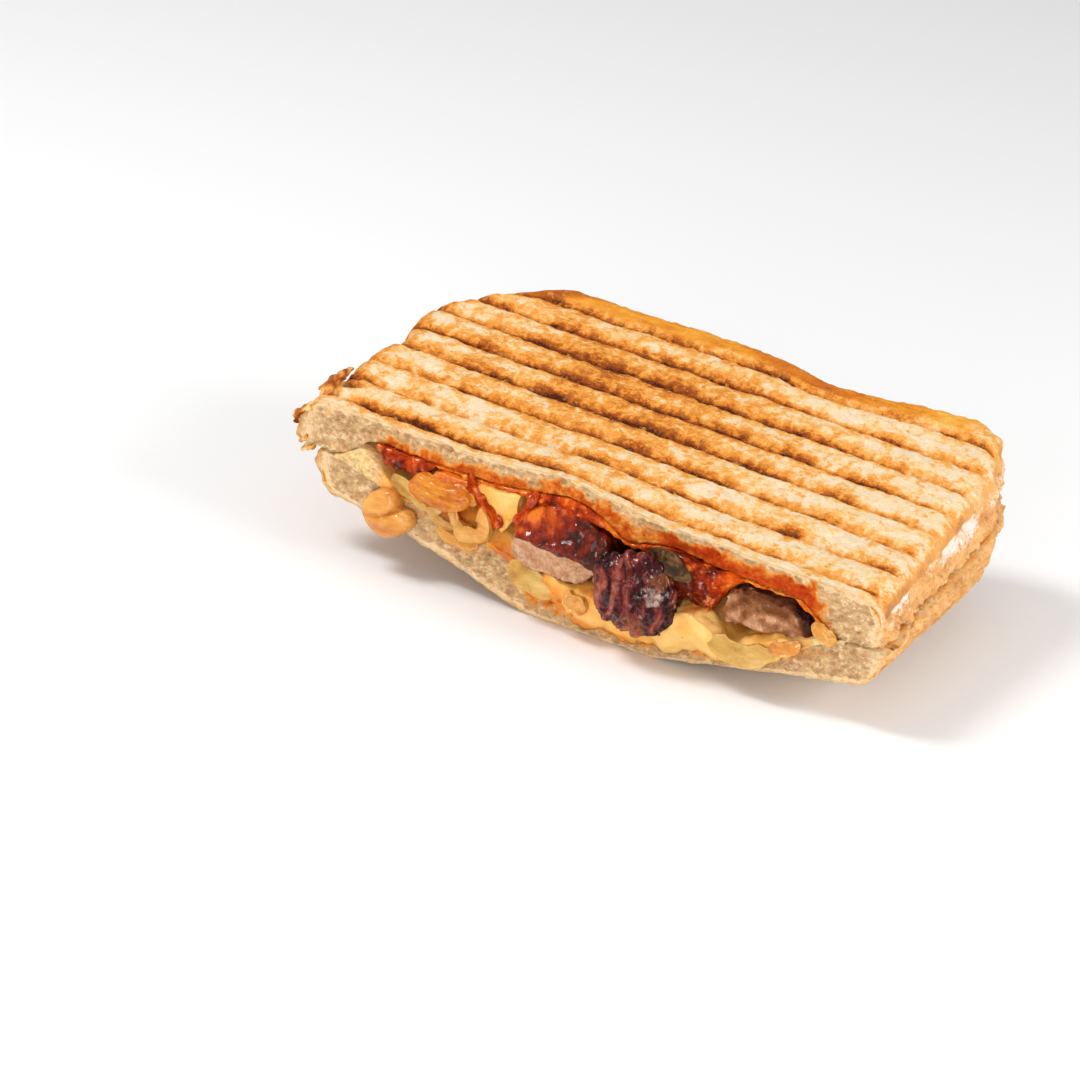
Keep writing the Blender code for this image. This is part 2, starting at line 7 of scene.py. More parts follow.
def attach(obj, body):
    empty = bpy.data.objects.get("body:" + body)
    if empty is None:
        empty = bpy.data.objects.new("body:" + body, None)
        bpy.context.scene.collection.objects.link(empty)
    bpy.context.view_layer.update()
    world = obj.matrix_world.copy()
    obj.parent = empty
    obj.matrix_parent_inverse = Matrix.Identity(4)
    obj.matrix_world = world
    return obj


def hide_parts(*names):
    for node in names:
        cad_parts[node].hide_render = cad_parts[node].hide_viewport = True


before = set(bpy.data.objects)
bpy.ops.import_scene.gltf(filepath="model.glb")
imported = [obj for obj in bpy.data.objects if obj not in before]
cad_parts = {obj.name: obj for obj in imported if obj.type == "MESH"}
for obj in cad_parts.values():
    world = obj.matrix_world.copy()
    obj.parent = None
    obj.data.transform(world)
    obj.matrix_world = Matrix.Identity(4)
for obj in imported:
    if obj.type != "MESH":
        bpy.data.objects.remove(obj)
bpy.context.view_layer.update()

# Lengths are millimetres until a mesh is made: x along the knife cut, y from the cut to the back
# crust, z up from the surface that the half lies on.


# TOP SLICE
# Half a slice of a big white loaf, crust on three sides. The plates of a ribbed grill pressed
# eight grooves into it and browned it: dark in the grooves, pale on the ridges between them.

MM = 0.001
BOX_MIDDLE = np.array((68.56, 38.62, 0.0))

CUT_LEFT, CUT_RIGHT = -4.0, 141.5
DEPTH, SQUARE_DEPTH = 84.0, 66.0
FIRST_BAR, BAR_PITCH, BARS = 4.8, 9.85, 8
BAR_HALF_WIDTH, BAR_DEPTH = 1.85, 1.2
CRUST_RADIUS = 5.0
GAP = 0.35


def bump(value, middle, width):
    return np.exp(-(((value - middle) / width) ** 2))


def smooth(start, end, value):
    t = np.clip((value - start) / (end - start), 0.0, 1.0)
    return t * t * (3.0 - 2.0 * t)


def plateau(value, start, end, ramp):
    return smooth(start - ramp, start + ramp, value) * smooth(end + ramp, end - ramp, value)


def mix(a, b, t):
    return a + (b - a) * t


def lumps(x, y, z, size):
    """Soft noise from about -1 to 1, in lumps of that many millimetres."""
    places = np.stack(np.broadcast_arrays(x, y, z), axis=-1) / size
    values = [noise.noise(place) for place in places.reshape(-1, 3).tolist()]
    return np.array(values).reshape(places.shape[:-1])


def pores(x, y, z, size, width):
    """1 in the middle of scattered round pores, 0 between them."""
    places = np.stack(np.broadcast_arrays(x, y, z), axis=-1) / size
    values = [noise.voronoi(place)[0][0] for place in places.reshape(-1, 3).tolist()]
    return smooth(width, width * 0.25, np.array(values).reshape(places.shape[:-1]))


def left_edge(y):
    arc = np.clip((y - 50.0) / 33.7, 0.0, 1.0)
    edge = 48.0 - 52.0 * np.sqrt(1.0 - arc * arc) + 5.5 * bump(y, 10.5, 2.4) + 2.0 * bump(y, 37.0, 3.5)
    return edge - 3.0 * smooth(40.0, 54.0, y) - 1.2 * smooth(16.0, 24.0, y) * smooth(54.0, 44.0, y)


def right_edge(y):
    return CUT_RIGHT - 0.1 * y


def back_edge(x):
    return DEPTH + 2.0 * smooth(98.0, 120.0, x) - 4.8 * bump(x, 89.5, 13.0)


def slice_plan(s, v):
    """Place of a point s of the way along the cut and v back from it."""
    depth = np.minimum(v, SQUARE_DEPTH)
    x = mix(left_edge(depth), right_edge(depth), s)
    back_x = mix(6.8, 129.0, s)
    corner_y = mix(73.8, 81.9, s)
    back_y = mix(corner_y, back_edge(back_x), smooth(0.0, 0.1, s) * smooth(1.0, 0.93, s))
    t = np.clip((v - SQUARE_DEPTH) / (DEPTH - SQUARE_DEPTH), 0.0, 1.0)
    swell = 1.5 * np.sin(np.pi * t) * smooth(0.02, 0.0, s)
    return mix(x, back_x, t) - swell, mix(depth, back_y, t) + swell


def edge_distance(s, v):
    length = CUT_RIGHT - CUT_LEFT
    return np.minimum(np.minimum(s, 1.0 - s) * length, DEPTH - v)


def crust_drop(distance):
    inside = np.clip(CRUST_RADIUS - distance, 0.0, CRUST_RADIUS)
    return 0.8 * (CRUST_RADIUS - np.sqrt(CRUST_RADIUS**2 - inside**2))


def nearest_bar(v):
    return np.min([np.abs(v - FIRST_BAR - k * BAR_PITCH) for k in range(BARS)], axis=0)


def bar_groove(v, distance):
    near = np.minimum(1.0, nearest_bar(v) / BAR_HALF_WIDTH)
    return BAR_DEPTH * np.cos(near * np.pi / 2.0) * smooth(0.0, 4.0, distance + 1.0)


def top_height(x, y):
    return 34.0 - 0.034 * x + 2.3 * bump(x, 64.0, 14.0) * np.exp(-np.maximum(y, 0.0) / 15.0) + 0.125 * y


def belly_height(x, y):
    left = np.clip((x - CUT_LEFT) / 62.0, 0.0, 1.0)
    right = np.maximum(0.0, (x - 88.0) / 53.5)
    lifted = 13.0 * np.maximum(0.0, np.cos(left * np.pi / 2.0)) ** 1.1 + 10.6 * right**0.95
    return lifted + 3.0 * smooth(60.0, 86.0, y)


def seam_height(x, y):
    return (top_height(x, y) + belly_height(x, y)) / 2.0 - 1.0


def slice_distance(x, y):
    """Rough distance inside the crust."""
    ends = np.minimum(x - CUT_LEFT - 0.9 * np.maximum(0.0, y - 45.0), right_edge(y) - x)
    return np.maximum(0.0, np.minimum(ends, back_edge(x) - y))


def ceiling(x, y):
    """Under side of the top slice."""
    crumb = 5.0 - 1.2 * bump(x, 67.0, 8.0) + 2.2 * bump(x, 80.0, 4.5) - 0.9 * bump(x, 93.0, 5.0)
    crumb = mix(crumb, 10.0, smooth(0.0, 50.0, y))
    closing = 1.0 - smooth(8.0, 20.0, slice_distance(x, y))
    return mix(top_height(x, y) - crumb, seam_height(x, y) + GAP, closing)


def hearth(x, y):
    """Upper side of the bottom slice, on which the filling lies."""
    crumb = 3.2 + 6.2 * smooth(74.0, 50.0, x) - 2.2 * smooth(36.0, 20.0, x) + 2.0 * smooth(106.0, 126.0, x)
    crumb = mix(crumb, 8.0, smooth(0.0, 50.0, y))
    closing = 1.0 - smooth(5.0, 23.0, slice_distance(x, y))
    return mix(belly_height(x, y) + crumb, seam_height(x, y) - GAP, closing)


def new_piece(name, points, faces, material):
    """One smooth-shaded object from points in millimetres, with its faces turned outwards."""
    mesh = bpy.data.meshes.new(name)
    mesh.from_pydata((points.reshape(-1, 3) - BOX_MIDDLE) * MM, [], faces)
    shape = bmesh.new()
    shape.from_mesh(mesh)
    bmesh.ops.recalc_face_normals(shape, faces=shape.faces[:])
    shape.to_mesh(mesh)
    shape.free()
    mesh.shade_smooth()
    mesh.materials.append(material)
    piece = bpy.data.objects.new(name, mesh)
    bpy.context.scene.collection.objects.link(piece)
    return piece


def places_of(piece):
    """x, y and z of each point of a piece, in millimetres."""
    flat = np.empty(len(piece.data.vertices) * 3)
    piece.data.vertices.foreach_get("co", flat)
    return (flat.reshape(-1, 3) / MM + BOX_MIDDLE).T


def press_out(piece, distance):
    """Moves each point of a piece along its own normal, by millimetres."""
    mesh = piece.data
    flat = np.empty(len(mesh.vertices) * 3)
    mesh.vertices.foreach_get("co", flat)
    normals = np.empty(len(mesh.vertices) * 3, np.float32)
    mesh.vertex_normals.foreach_get("vector", normals)
    flat += normals * np.repeat(distance, 3) * MM
    mesh.vertices.foreach_set("co", flat)
    mesh.update()


def mark(piece, **masks):
    """Keeps masks from 0 to 1 on a piece's points, for its material to read."""
    for name, values in masks.items():
        attribute = piece.data.attributes.new(name, "FLOAT", "POINT")
        per_point = np.clip(values, 0.0, 1.0) + np.zeros(len(piece.data.vertices))
        attribute.data.foreach_set("value", per_point.astype(np.float32))


def slab(name, columns, rows, skip, levels, face, inner, side, material):
    """A closed slab, and s, v and t of its points: t goes from 0 on the face to 1 on the inner face,
    which has only every skip-th row."""
    s, v = np.meshgrid(np.linspace(0.0, 1.0, columns), rows, indexing="ij")
    last_column, last_row = columns - 1, len(rows) - 1
    outer = np.stack(face(s, v), axis=-1)
    under = np.stack(inner(s, v), axis=-1)
    index = np.arange(s.size).reshape(s.shape)
    kept_rows = range(0, last_row + 1, skip)

    border = [(i, 0) for i in range(last_column)] + [(last_column, j) for j in range(last_row)]
    border += [(i, last_row) for i in range(last_column, 0, -1)] + [(0, j) for j in range(last_row, 0, -1)]
    bi, bj = np.array(border).T
    points, s_all, v_all, t_all = [outer.reshape(-1, 3)], [s.ravel()], [v.ravel()], [np.zeros(s.size)]
    rings = [index[bi, bj]]
    count = s.size
    for n in range(1, levels):
        t = n / levels
        ring = np.stack(side(s[bi, bj], v[bi, bj], outer[bi, bj].T, under[bi, bj].T, t), axis=-1)
        rings.append(np.arange(count, count + len(ring)))
        points.append(ring)
        s_all.append(s[bi, bj])
        v_all.append(v[bi, bj])
        t_all.append(np.full(len(ring), t))
        count += len(ring)
    under_index = np.full(s.shape, -1)
    for j in kept_rows:
        under_index[:, j] = np.arange(count, count + last_column + 1)
        points.append(under[:, j])
        s_all.append(s[:, j])
        v_all.append(v[:, j])
        t_all.append(np.ones(last_column + 1))
        count += last_column + 1

    a, b = index[:-1, :-1].ravel(), index[1:, :-1].ravel()
    c, d = index[1:, 1:].ravel(), index[:-1, 1:].ravel()
    faces = np.stack([a, b, c, d], axis=-1).tolist()
    for j in kept_rows[:-1]:
        near, far = under_index[:, j], under_index[:, j + skip]
        faces += np.stack([near[:-1], far[:-1], far[1:], near[1:]], axis=-1).tolist()
    for ring, below in zip(rings, rings[1:]):
        faces += np.stack([ring, below, np.roll(below, -1), np.roll(ring, -1)], axis=-1).tolist()
    kept = [k for k in range(len(border)) if under_index[bi[k], bj[k]] >= 0]
    for start, end in zip(kept, kept[1:] + [kept[0] + len(border)]):
        run = [rings[-1][k % len(border)] for k in range(start, end + 1)]
        far = [under_index[bi[k % len(border)], bj[k % len(border)]] for k in (end, start)]
        faces.append([int(k) for k in run + far])
    piece = new_piece(name, np.concatenate(points), faces, material)
    return piece, *(np.concatenate(part) for part in (s_all, v_all, t_all))


def tone(red, green, blue):
    """A screen colour from 0 to 255 as the linear colour that a shader takes."""
    parts = [part / 255.0 for part in (red, green, blue)]
    return (*(p / 12.92 if p < 0.04045 else ((p + 0.055) / 1.055) ** 2.4 for p in parts), 1.0)


class Recipe:
    """Adds shader nodes to one tree; each step takes numbers, colours or earlier steps."""

    def __init__(self, tree):
        self.tree = tree

    def node(self, kind, inputs, **settings):
        node = self.tree.nodes.new(f"ShaderNode{kind}")
        for name, value in settings.items():
            setattr(node, name, value)
        for name, value in inputs.items():
            if isinstance(value, bpy.types.NodeSocket):
                self.tree.links.new(value, node.inputs[name])
            else:
                node.inputs[name].default_value = value
        return node

    def places(self, stretch=(1.0, 1.0, 1.0)):
        """Object coordinates in millimetres, shrunk where the pattern is to be stretched."""
        coords = self.node("TexCoord", {}).outputs["Object"]
        scale = tuple(1.0 / (MM * part) for part in stretch)
        return self.node("Mapping", {"Vector": coords, "Scale": scale}).outputs["Vector"]

    def grain(self, places, size, detail=3.0, rough=0.55, twist=0.0):
        inputs = {"Vector": places, "Scale": 1.0 / size, "Detail": detail}
        inputs |= {"Roughness": rough, "Distortion": twist}
        return self.node("TexNoise", inputs).outputs["Fac"]

    def cells(self, places, size, feature="F1"):
        inputs = {"Vector": places, "Scale": 1.0 / size}
        return self.node("TexVoronoi", inputs, feature=feature).outputs["Distance"]

    def sum(self, first, *rest):
        """first plus each (value, weight) of the rest."""
        for value, weight in rest:
            inputs = {0: value, 1: weight, 2: first}
            first = self.node("Math", inputs, operation="MULTIPLY_ADD").outputs[0]
        return first

    def times(self, a, b):
        return self.node("Math", {0: a, 1: b}, operation="MULTIPLY").outputs[0]

    def step(self, value, start, end):
        """0 at start and below, 1 at end and above; start may be the larger."""
        low, high = min(start, end), max(start, end)
        to = (0.0, 1.0) if start < end else (1.0, 0.0)
        inputs = {"Value": value, "From Min": low, "From Max": high, "To Min": to[0], "To Max": to[1]}
        return self.node("MapRange", inputs, interpolation_type="SMOOTHSTEP").outputs[0]

    def mask(self, name):
        return self.node("Attribute", {}, attribute_name=name).outputs["Fac"]

    def ramp(self, value, *stops):
        """A colour for each value, through (position, colour) stops."""
        node = self.node("ValToRGB", {"Fac": value})
        elements = node.color_ramp.elements
        while len(elements) < len(stops):
            elements.new(0.5)
        for element, (position, colour) in zip(elements, stops):
            element.position = position
            element.color = colour
        return node.outputs["Color"]

    def blend(self, share, a, b, how="MIX"):
        """Colour a where the share is 0 and colour b where it is 1."""
        inputs = {0: share, 6: a, 7: b}
        return self.node("Mix", inputs, data_type="RGBA", blend_type=how).outputs[2]

    def relief(self, *heights):
        """A normal from (height, millimetres) pairs."""
        total = self.sum(0.0, *heights)
        return self.node("Bump", {"Height": total, "Strength": 1.0, "Distance": MM}).outputs["Normal"]

    def speckle(self, places, size):
        """Fine and coarse grain together, in grains of that many times their usual size."""
        inputs = {"Places": places, "Size": size}
        node = self.node("Group", inputs, node_tree=bpy.data.node_groups["speckle"])
        return node.outputs["Fine"], node.outputs["Coarse"]


def new_finish(name, **shader_values):
    """A new material, its recipe and its shader, with what is the same all over set on the shader."""
    material = bpy.data.materials.new(name)
    material.use_nodes = True
    shader = material.node_tree.nodes["Principled BSDF"]
    for key, value in shader_values.items():
        shader.inputs[key.replace("_", " ")].default_value = value
    return material, Recipe(material.node_tree), shader


def finish_with(recipe, shader, colour=None, roughness=None, normal=None, coat=None):
    """Links what changes over the surface to the shader."""
    steps = {"Base Color": colour, "Roughness": roughness, "Normal": normal, "Coat Weight": coat}
    for name, value in steps.items():
        if value is not None:
            recipe.tree.links.new(value, shader.inputs[name])


# Speckle: fine and coarse grain together, used to break up every browned or oily edge.
speckle = bpy.data.node_groups.new("speckle", "ShaderNodeTree")
speckle.interface.new_socket("Places", in_out="INPUT", socket_type="NodeSocketVector")
speckle.interface.new_socket("Size", in_out="INPUT", socket_type="NodeSocketFloat").default_value = 1.0
speckle.interface.new_socket("Fine", in_out="OUTPUT", socket_type="NodeSocketFloat")
speckle.interface.new_socket("Coarse", in_out="OUTPUT", socket_type="NodeSocketFloat")
recipe = Recipe(speckle)
given = speckle.nodes.new("NodeGroupInput").outputs
result = speckle.nodes.new("NodeGroupOutput").inputs
shrink = recipe.node("Math", {0: 1.0, 1: given["Size"]}, operation="DIVIDE").outputs[0]
places = recipe.node("VectorMath", {0: given["Places"], "Scale": shrink}, operation="SCALE").outputs[0]
recipe.tree.links.new(recipe.grain(places, 0.45, 4.0, 0.6), result["Fine"])
recipe.tree.links.new(recipe.grain(places, 2.6, 5.0, 0.6, 0.4), result["Coarse"])

RIDGE_TOP = tone(230, 204, 164)
PALE_GOLD = tone(232, 188, 124)
GOLD = tone(230, 164, 84)
AMBER = tone(218, 136, 50)
BROWN = tone(164, 86, 30)
DARK_BROWN = tone(128, 60, 22)
CHAR = tone(76, 30, 12)
CRUMB = tone(196, 150, 102)
CRUMB_LIGHT = tone(211, 174, 125)
# Painted shade for the crumb's pores.
PAINTED_PORE_SHADE = tone(172, 108, 56)
CELL_WALL = tone(250, 224, 182)
DAMP_CRUMB = tone(222, 196, 160)
TOASTED_EDGE = tone(252, 224, 186)
FLOUR = tone(246, 232, 222)
OILY_CRUMB = tone(230, 144, 56)
SAUCE_STAIN = tone(190, 64, 14)

toasted_bread, recipe, shader = new_finish(
    "toasted_bread", Specular_IOR_Level=0.08, Subsurface_Weight=0.2, Subsurface_Scale=0.003,
    Subsurface_Radius=(1.0, 0.6, 0.3),
)
places = recipe.places()
fine, coarse = recipe.speckle(places, 1.0)
_, clumps = recipe.speckle(places, 0.55)
fibres = recipe.grain(recipe.places((2.6, 0.8, 1.0)), 0.6, 4.0, 0.65)
browning = recipe.sum(recipe.mask("browning"), (coarse, 1.1), (clumps, 0.8), (fine, 0.35))
browning = recipe.sum(browning, (fibres, 0.4), (1.0, -1.33))
grilled = recipe.ramp(
    browning, (0.06, RIDGE_TOP), (0.2, PALE_GOLD), (0.34, GOLD),
    (0.52, AMBER), (0.7, BROWN), (0.88, DARK_BROWN), (1.0, CHAR)
)
islands = recipe.step(recipe.grain(recipe.places((1.9, 1.0, 1.0)), 3.0, 2.0, 0.5, 0.3), 0.52, 0.57)
strip = recipe.mask("strip")
streaks = recipe.grain(recipe.places((5.0, 1.0, 1.0)), 1.4, 3.0, 0.6)
satin = recipe.sum(recipe.mask("browning"), (streaks, 0.5), (coarse, 0.35), (1.0, -0.42))
honey = recipe.ramp(
    satin, (0.2, tone(238, 180, 86)), (0.4, tone(226, 150, 48)), (0.6, tone(200, 112, 32)), (0.8, BROWN)
)
grilled = recipe.blend(strip, grilled, honey)
patch = recipe.sum(recipe.mask("patch"), (islands, 0.9), (strip, -1.5))
patch = recipe.times(recipe.step(patch, 0.2, 0.7), recipe.step(browning, 0.36, 0.16))
damp_colour = recipe.ramp(clumps, (0.35, DAMP_CRUMB), (0.65, tone(240, 219, 188)))
grilled = recipe.blend(recipe.times(patch, 0.85), grilled, damp_colour)
bubbles = recipe.cells(places, 1.1)
# Small scattered pits: the relief sinks them and their grey-brown colour is painted shadow in them.
shaded_pits = recipe.step(recipe.cells(recipe.places((2.2, 1.0, 1.0)), 1.7), 0.15, 0.07)
shaded_pits = recipe.times(shaded_pits, recipe.step(coarse, 0.52, 0.6))
grilled = recipe.blend(recipe.times(shaded_pits, 0.5), grilled, tone(140, 108, 66))

crumb_places = recipe.places((1.35, 1.0, 0.9))
sponge = recipe.grain(crumb_places, 1.05, 4.0, 0.6, 0.3)
wide_holes = recipe.step(recipe.sum(recipe.cells(crumb_places, 1.9), (sponge, 0.5)), 0.46, 0.34)
# crumb_holes sinks the crumb's pores in the relief and also paints shade into them.
crumb_holes = recipe.sum(recipe.step(sponge, 0.46, 0.34), (wide_holes, 0.35))
crumb_walls = recipe.step(recipe.cells(crumb_places, 1.5, "DISTANCE_TO_EDGE"), 0.14, 0.0)
mottle = recipe.sum(coarse, (clumps, 0.5), (1.0, -0.25))
crumb = recipe.ramp(mottle, (0.36, CRUMB), (0.62, CRUMB_LIGHT))
crumb = recipe.blend(recipe.times(crumb_holes, 0.3), crumb, PAINTED_PORE_SHADE)
crumb = recipe.blend(recipe.times(recipe.step(sponge, 0.53, 0.66), 0.6), crumb, CELL_WALL)
crumb = recipe.blend(recipe.times(crumb_walls, 0.14), crumb, CELL_WALL)
# The pores carved into the cut get painted shade as well.
crumb = recipe.blend(recipe.times(recipe.mask("pore"), 0.3), crumb, PAINTED_PORE_SHADE)
torn_white = recipe.step(recipe.sum(clumps, (coarse, 0.6)), 0.98, 1.12)
crumb = recipe.blend(recipe.times(torn_white, 0.6), crumb, tone(252, 234, 200))
toast = recipe.sum(recipe.mask("toast"), (fine, 0.6), (clumps, 0.9), (coarse, 0.5), (1.0, -1.0))
toast_colour = recipe.ramp(
    toast, (0.25, TOASTED_EDGE), (0.7, tone(244, 200, 142)), (0.88, GOLD), (1.0, AMBER)
)
crumb = recipe.blend(recipe.step(toast, 0.15, 0.6), crumb, toast_colour)

rind = recipe.sum(0.0, (coarse, 0.55), (fine, 0.35), (clumps, 0.6))
rind = recipe.ramp(
    rind, (0.5, tone(176, 102, 46)), (0.66, tone(218, 154, 88)),
    (0.82, tone(236, 186, 126)), (1.0, tone(248, 216, 170))
)
rim = recipe.sum(recipe.mask("rim"), (clumps, 1.2), (1.0, -0.6))
rim_colour = recipe.ramp(rim, (0.2, tone(222, 150, 74)), (0.6, BROWN), (0.95, DARK_BROWN))
rind = recipe.blend(recipe.step(rim, 0.1, 0.9), rind, rim_colour)
floured = recipe.sum(recipe.mask("flour"), (fine, 0.9), (clumps, 1.3), (1.0, -1.1))
rind = recipe.blend(recipe.times(recipe.step(floured, 0.2, 0.6), 0.85), rind, FLOUR)

colour = recipe.blend(recipe.mask("rind"), grilled, rind)
colour = recipe.blend(recipe.mask("cut"), colour, crumb)
stain = recipe.sum(recipe.mask("stain"), (coarse, 1.5), (clumps, 0.9), (1.0, -1.2))
stain_colour = recipe.ramp(
    stain, (0.2, tone(236, 172, 92)), (0.45, OILY_CRUMB), (0.75, tone(208, 96, 26)), (1.0, SAUCE_STAIN)
)
soaked = recipe.step(stain, 0.12, 0.5)
colour = recipe.blend(soaked, colour, stain_colour)
baked = recipe.step(browning, 0.4, 0.9)
roughness = recipe.sum(0.8, (patch, -0.2), (soaked, -0.38), (fine, 0.12), (baked, -0.16))
crumb_depth = recipe.times(crumb_holes, recipe.mask("cut"))
normal = recipe.relief(
    (fine, 0.3), (clumps, 0.45), (coarse, 0.2), (bubbles, 0.2),
    (crumb_depth, -0.2), (shaded_pits, -0.3), (fibres, 0.22),
)
finish_with(recipe, shader, colour, roughness, normal)

# Pale, damp spots where a large bubble of the crumb kept the plate off: x, v and radius.
DAMP_SPOTS = (
    (24.7, 52.0, 4.2), (10.9, 26.6, 3.4), (103.0, 38.5, 3.6),
    (114.0, 45.4, 2.6), (71.5, 60.0, 3.2), (39.0, 28.4, 3.2),
    (8.0, 17.0, 2.6), (30.0, 19.0, 3.0), (52.0, 17.5, 3.4),
    (88.0, 17.5, 3.8), (106.0, 28.0, 3.0), (61.0, 48.0, 2.8),
    (93.0, 50.0, 2.4), (122.0, 62.0, 3.0), (17.0, 40.0, 2.8),
    (69.0, 29.0, 2.4), (124.0, 20.0, 3.6), (48.0, 68.0, 2.6),
    (97.0, 68.0, 3.0), (33.0, 60.0, 2.4), (112.0, 9.5, 3.2),
    (70.0, 9.5, 3.0), (21.0, 9.5, 2.6), (57.0, 38.6, 2.2),
)


def grill_marks(x, v, distance):
    """How brown the grilled face is: most in the grooves and in the middle of the plate."""
    near = nearest_bar(v + 0.5 * lumps(x, v, 3.0, 7.0))
    hot = 0.7 * bump(x, 40.0, 20.0) * bump(v, 45.0, 17.0) + 0.75 * bump(x, 76.0, 19.0) * bump(v, 37.0, 11.0)
    hot += 0.6 * bump(x, 27.0, 17.0) * bump(v, FIRST_BAR, 3.0)
    hot += 0.35 * bump(x, 62.0, 25.0) * bump(v, 55.0, 9.0)
    hot += 0.25 * bump(x, 12.0, 7.0) * smooth(30.0, 60.0, v)
    hot += 0.25 * bump(x, 112.0, 12.0) * bump(v, 42.0, 9.0)
    uneven = 0.8 + 1.0 * lumps(x, v * 2.0, 11.0, 13.0) + 0.8 * lumps(x, v, 5.0, 4.5)
    line = 0.34 * np.exp(-((near / 0.6) ** 2)) * (uneven + hot)
    spread = 0.8 + 0.4 * hot + 0.8 * lumps(x, v, 17.0, 9.0) + 0.6 * lumps(x, v, 27.0, 3.5)
    flank = 0.38 * np.exp(-((near / 2.2) ** 2)) * spread
    ground = 0.16 + 0.12 * lumps(x, v, 23.0, 16.0) + 0.15 * lumps(x, v, 29.0, 6.0) + 0.33 * hot
    ground += 0.10 * bump(x, 48.0, 36.0) * smooth(8.0, 30.0, v) - 0.09 * smooth(85.0, 125.0, x)
    marks = line + flank + ground
    strip = smooth(74.8, 76.6, v + 0.8 * lumps(x, v, 9.0, 6.0))
    strip_marks = 0.44 + 0.2 * bump(x, 84.0, 20.0) + 0.12 * lumps(x, v, 31.0, 8.0)
    marks = mix(marks, strip_marks - 0.14 * smooth(100.0, 130.0, x), strip)
    rim = smooth(1.2, 0.0, distance) * (0.3 + 0.5 * lumps(x, v, 37.0, 6.0)) * (v > 2.0)
    left_tips = 0.3 * smooth(7.0, 1.0, x - left_edge(np.minimum(v, 80.0))) * (v > 6.0)
    marks = mix(marks, 0.24, smooth(4.5, 1.5, right_edge(v) - x) * 0.8)
    return mix(marks + np.maximum(rim, 0.0) + left_tips, 0.12, 0.7 * smooth(1.4, 0.3, v))


def crust_side(s, v, outer, under, t):
    """The side of a slice: straight crumb at the cut, a swollen crust on the other sides."""
    x, y, z = mix(outer, under, t)
    at_cut = v == 0.0
    out_x = (x - 70.0) * np.where((s == 0.0) | (s == 1.0), 3.0, 0.3)
    out_y = y - 30.0
    length = np.hypot(out_x, out_y)
    pressed = np.where(s == 1.0, 0.55 * t, t)
    swell = 1.3 * np.sin(np.pi * pressed) + 1.4 * lumps(x, y, z, 5.0)
    swell = np.where(at_cut, 0.0, swell)
    y = np.where(at_cut, y + 0.25 + 0.5 * lumps(x, 3.0, z, 4.0), y)
    return x + out_x / length * swell, y + out_y / length * swell, z


def top_face(s, v):
    x, y = slice_plan(s, v)
    distance = edge_distance(s, v)
    curl = 1.8 * bump(y, 7.5, 3.0) * bump(x, CUT_LEFT + 1.0, 3.0)
    crown = 0.2 * smooth(2.0, 4.4, nearest_bar(v)) * smooth(0.0, 5.0, distance)
    height = top_height(x, y) - crust_drop(distance) - bar_groove(v, distance)
    raised = 0.8 * smooth(48.0, 80.0, y) * smooth(25.0, 60.0, x)
    return x, y, height + crown + 0.35 * lumps(x, y, 0.0, 9.0) + curl + raised


def top_inner(s, v):
    x, y = slice_plan(s, v)
    return x, y, ceiling(x, y)


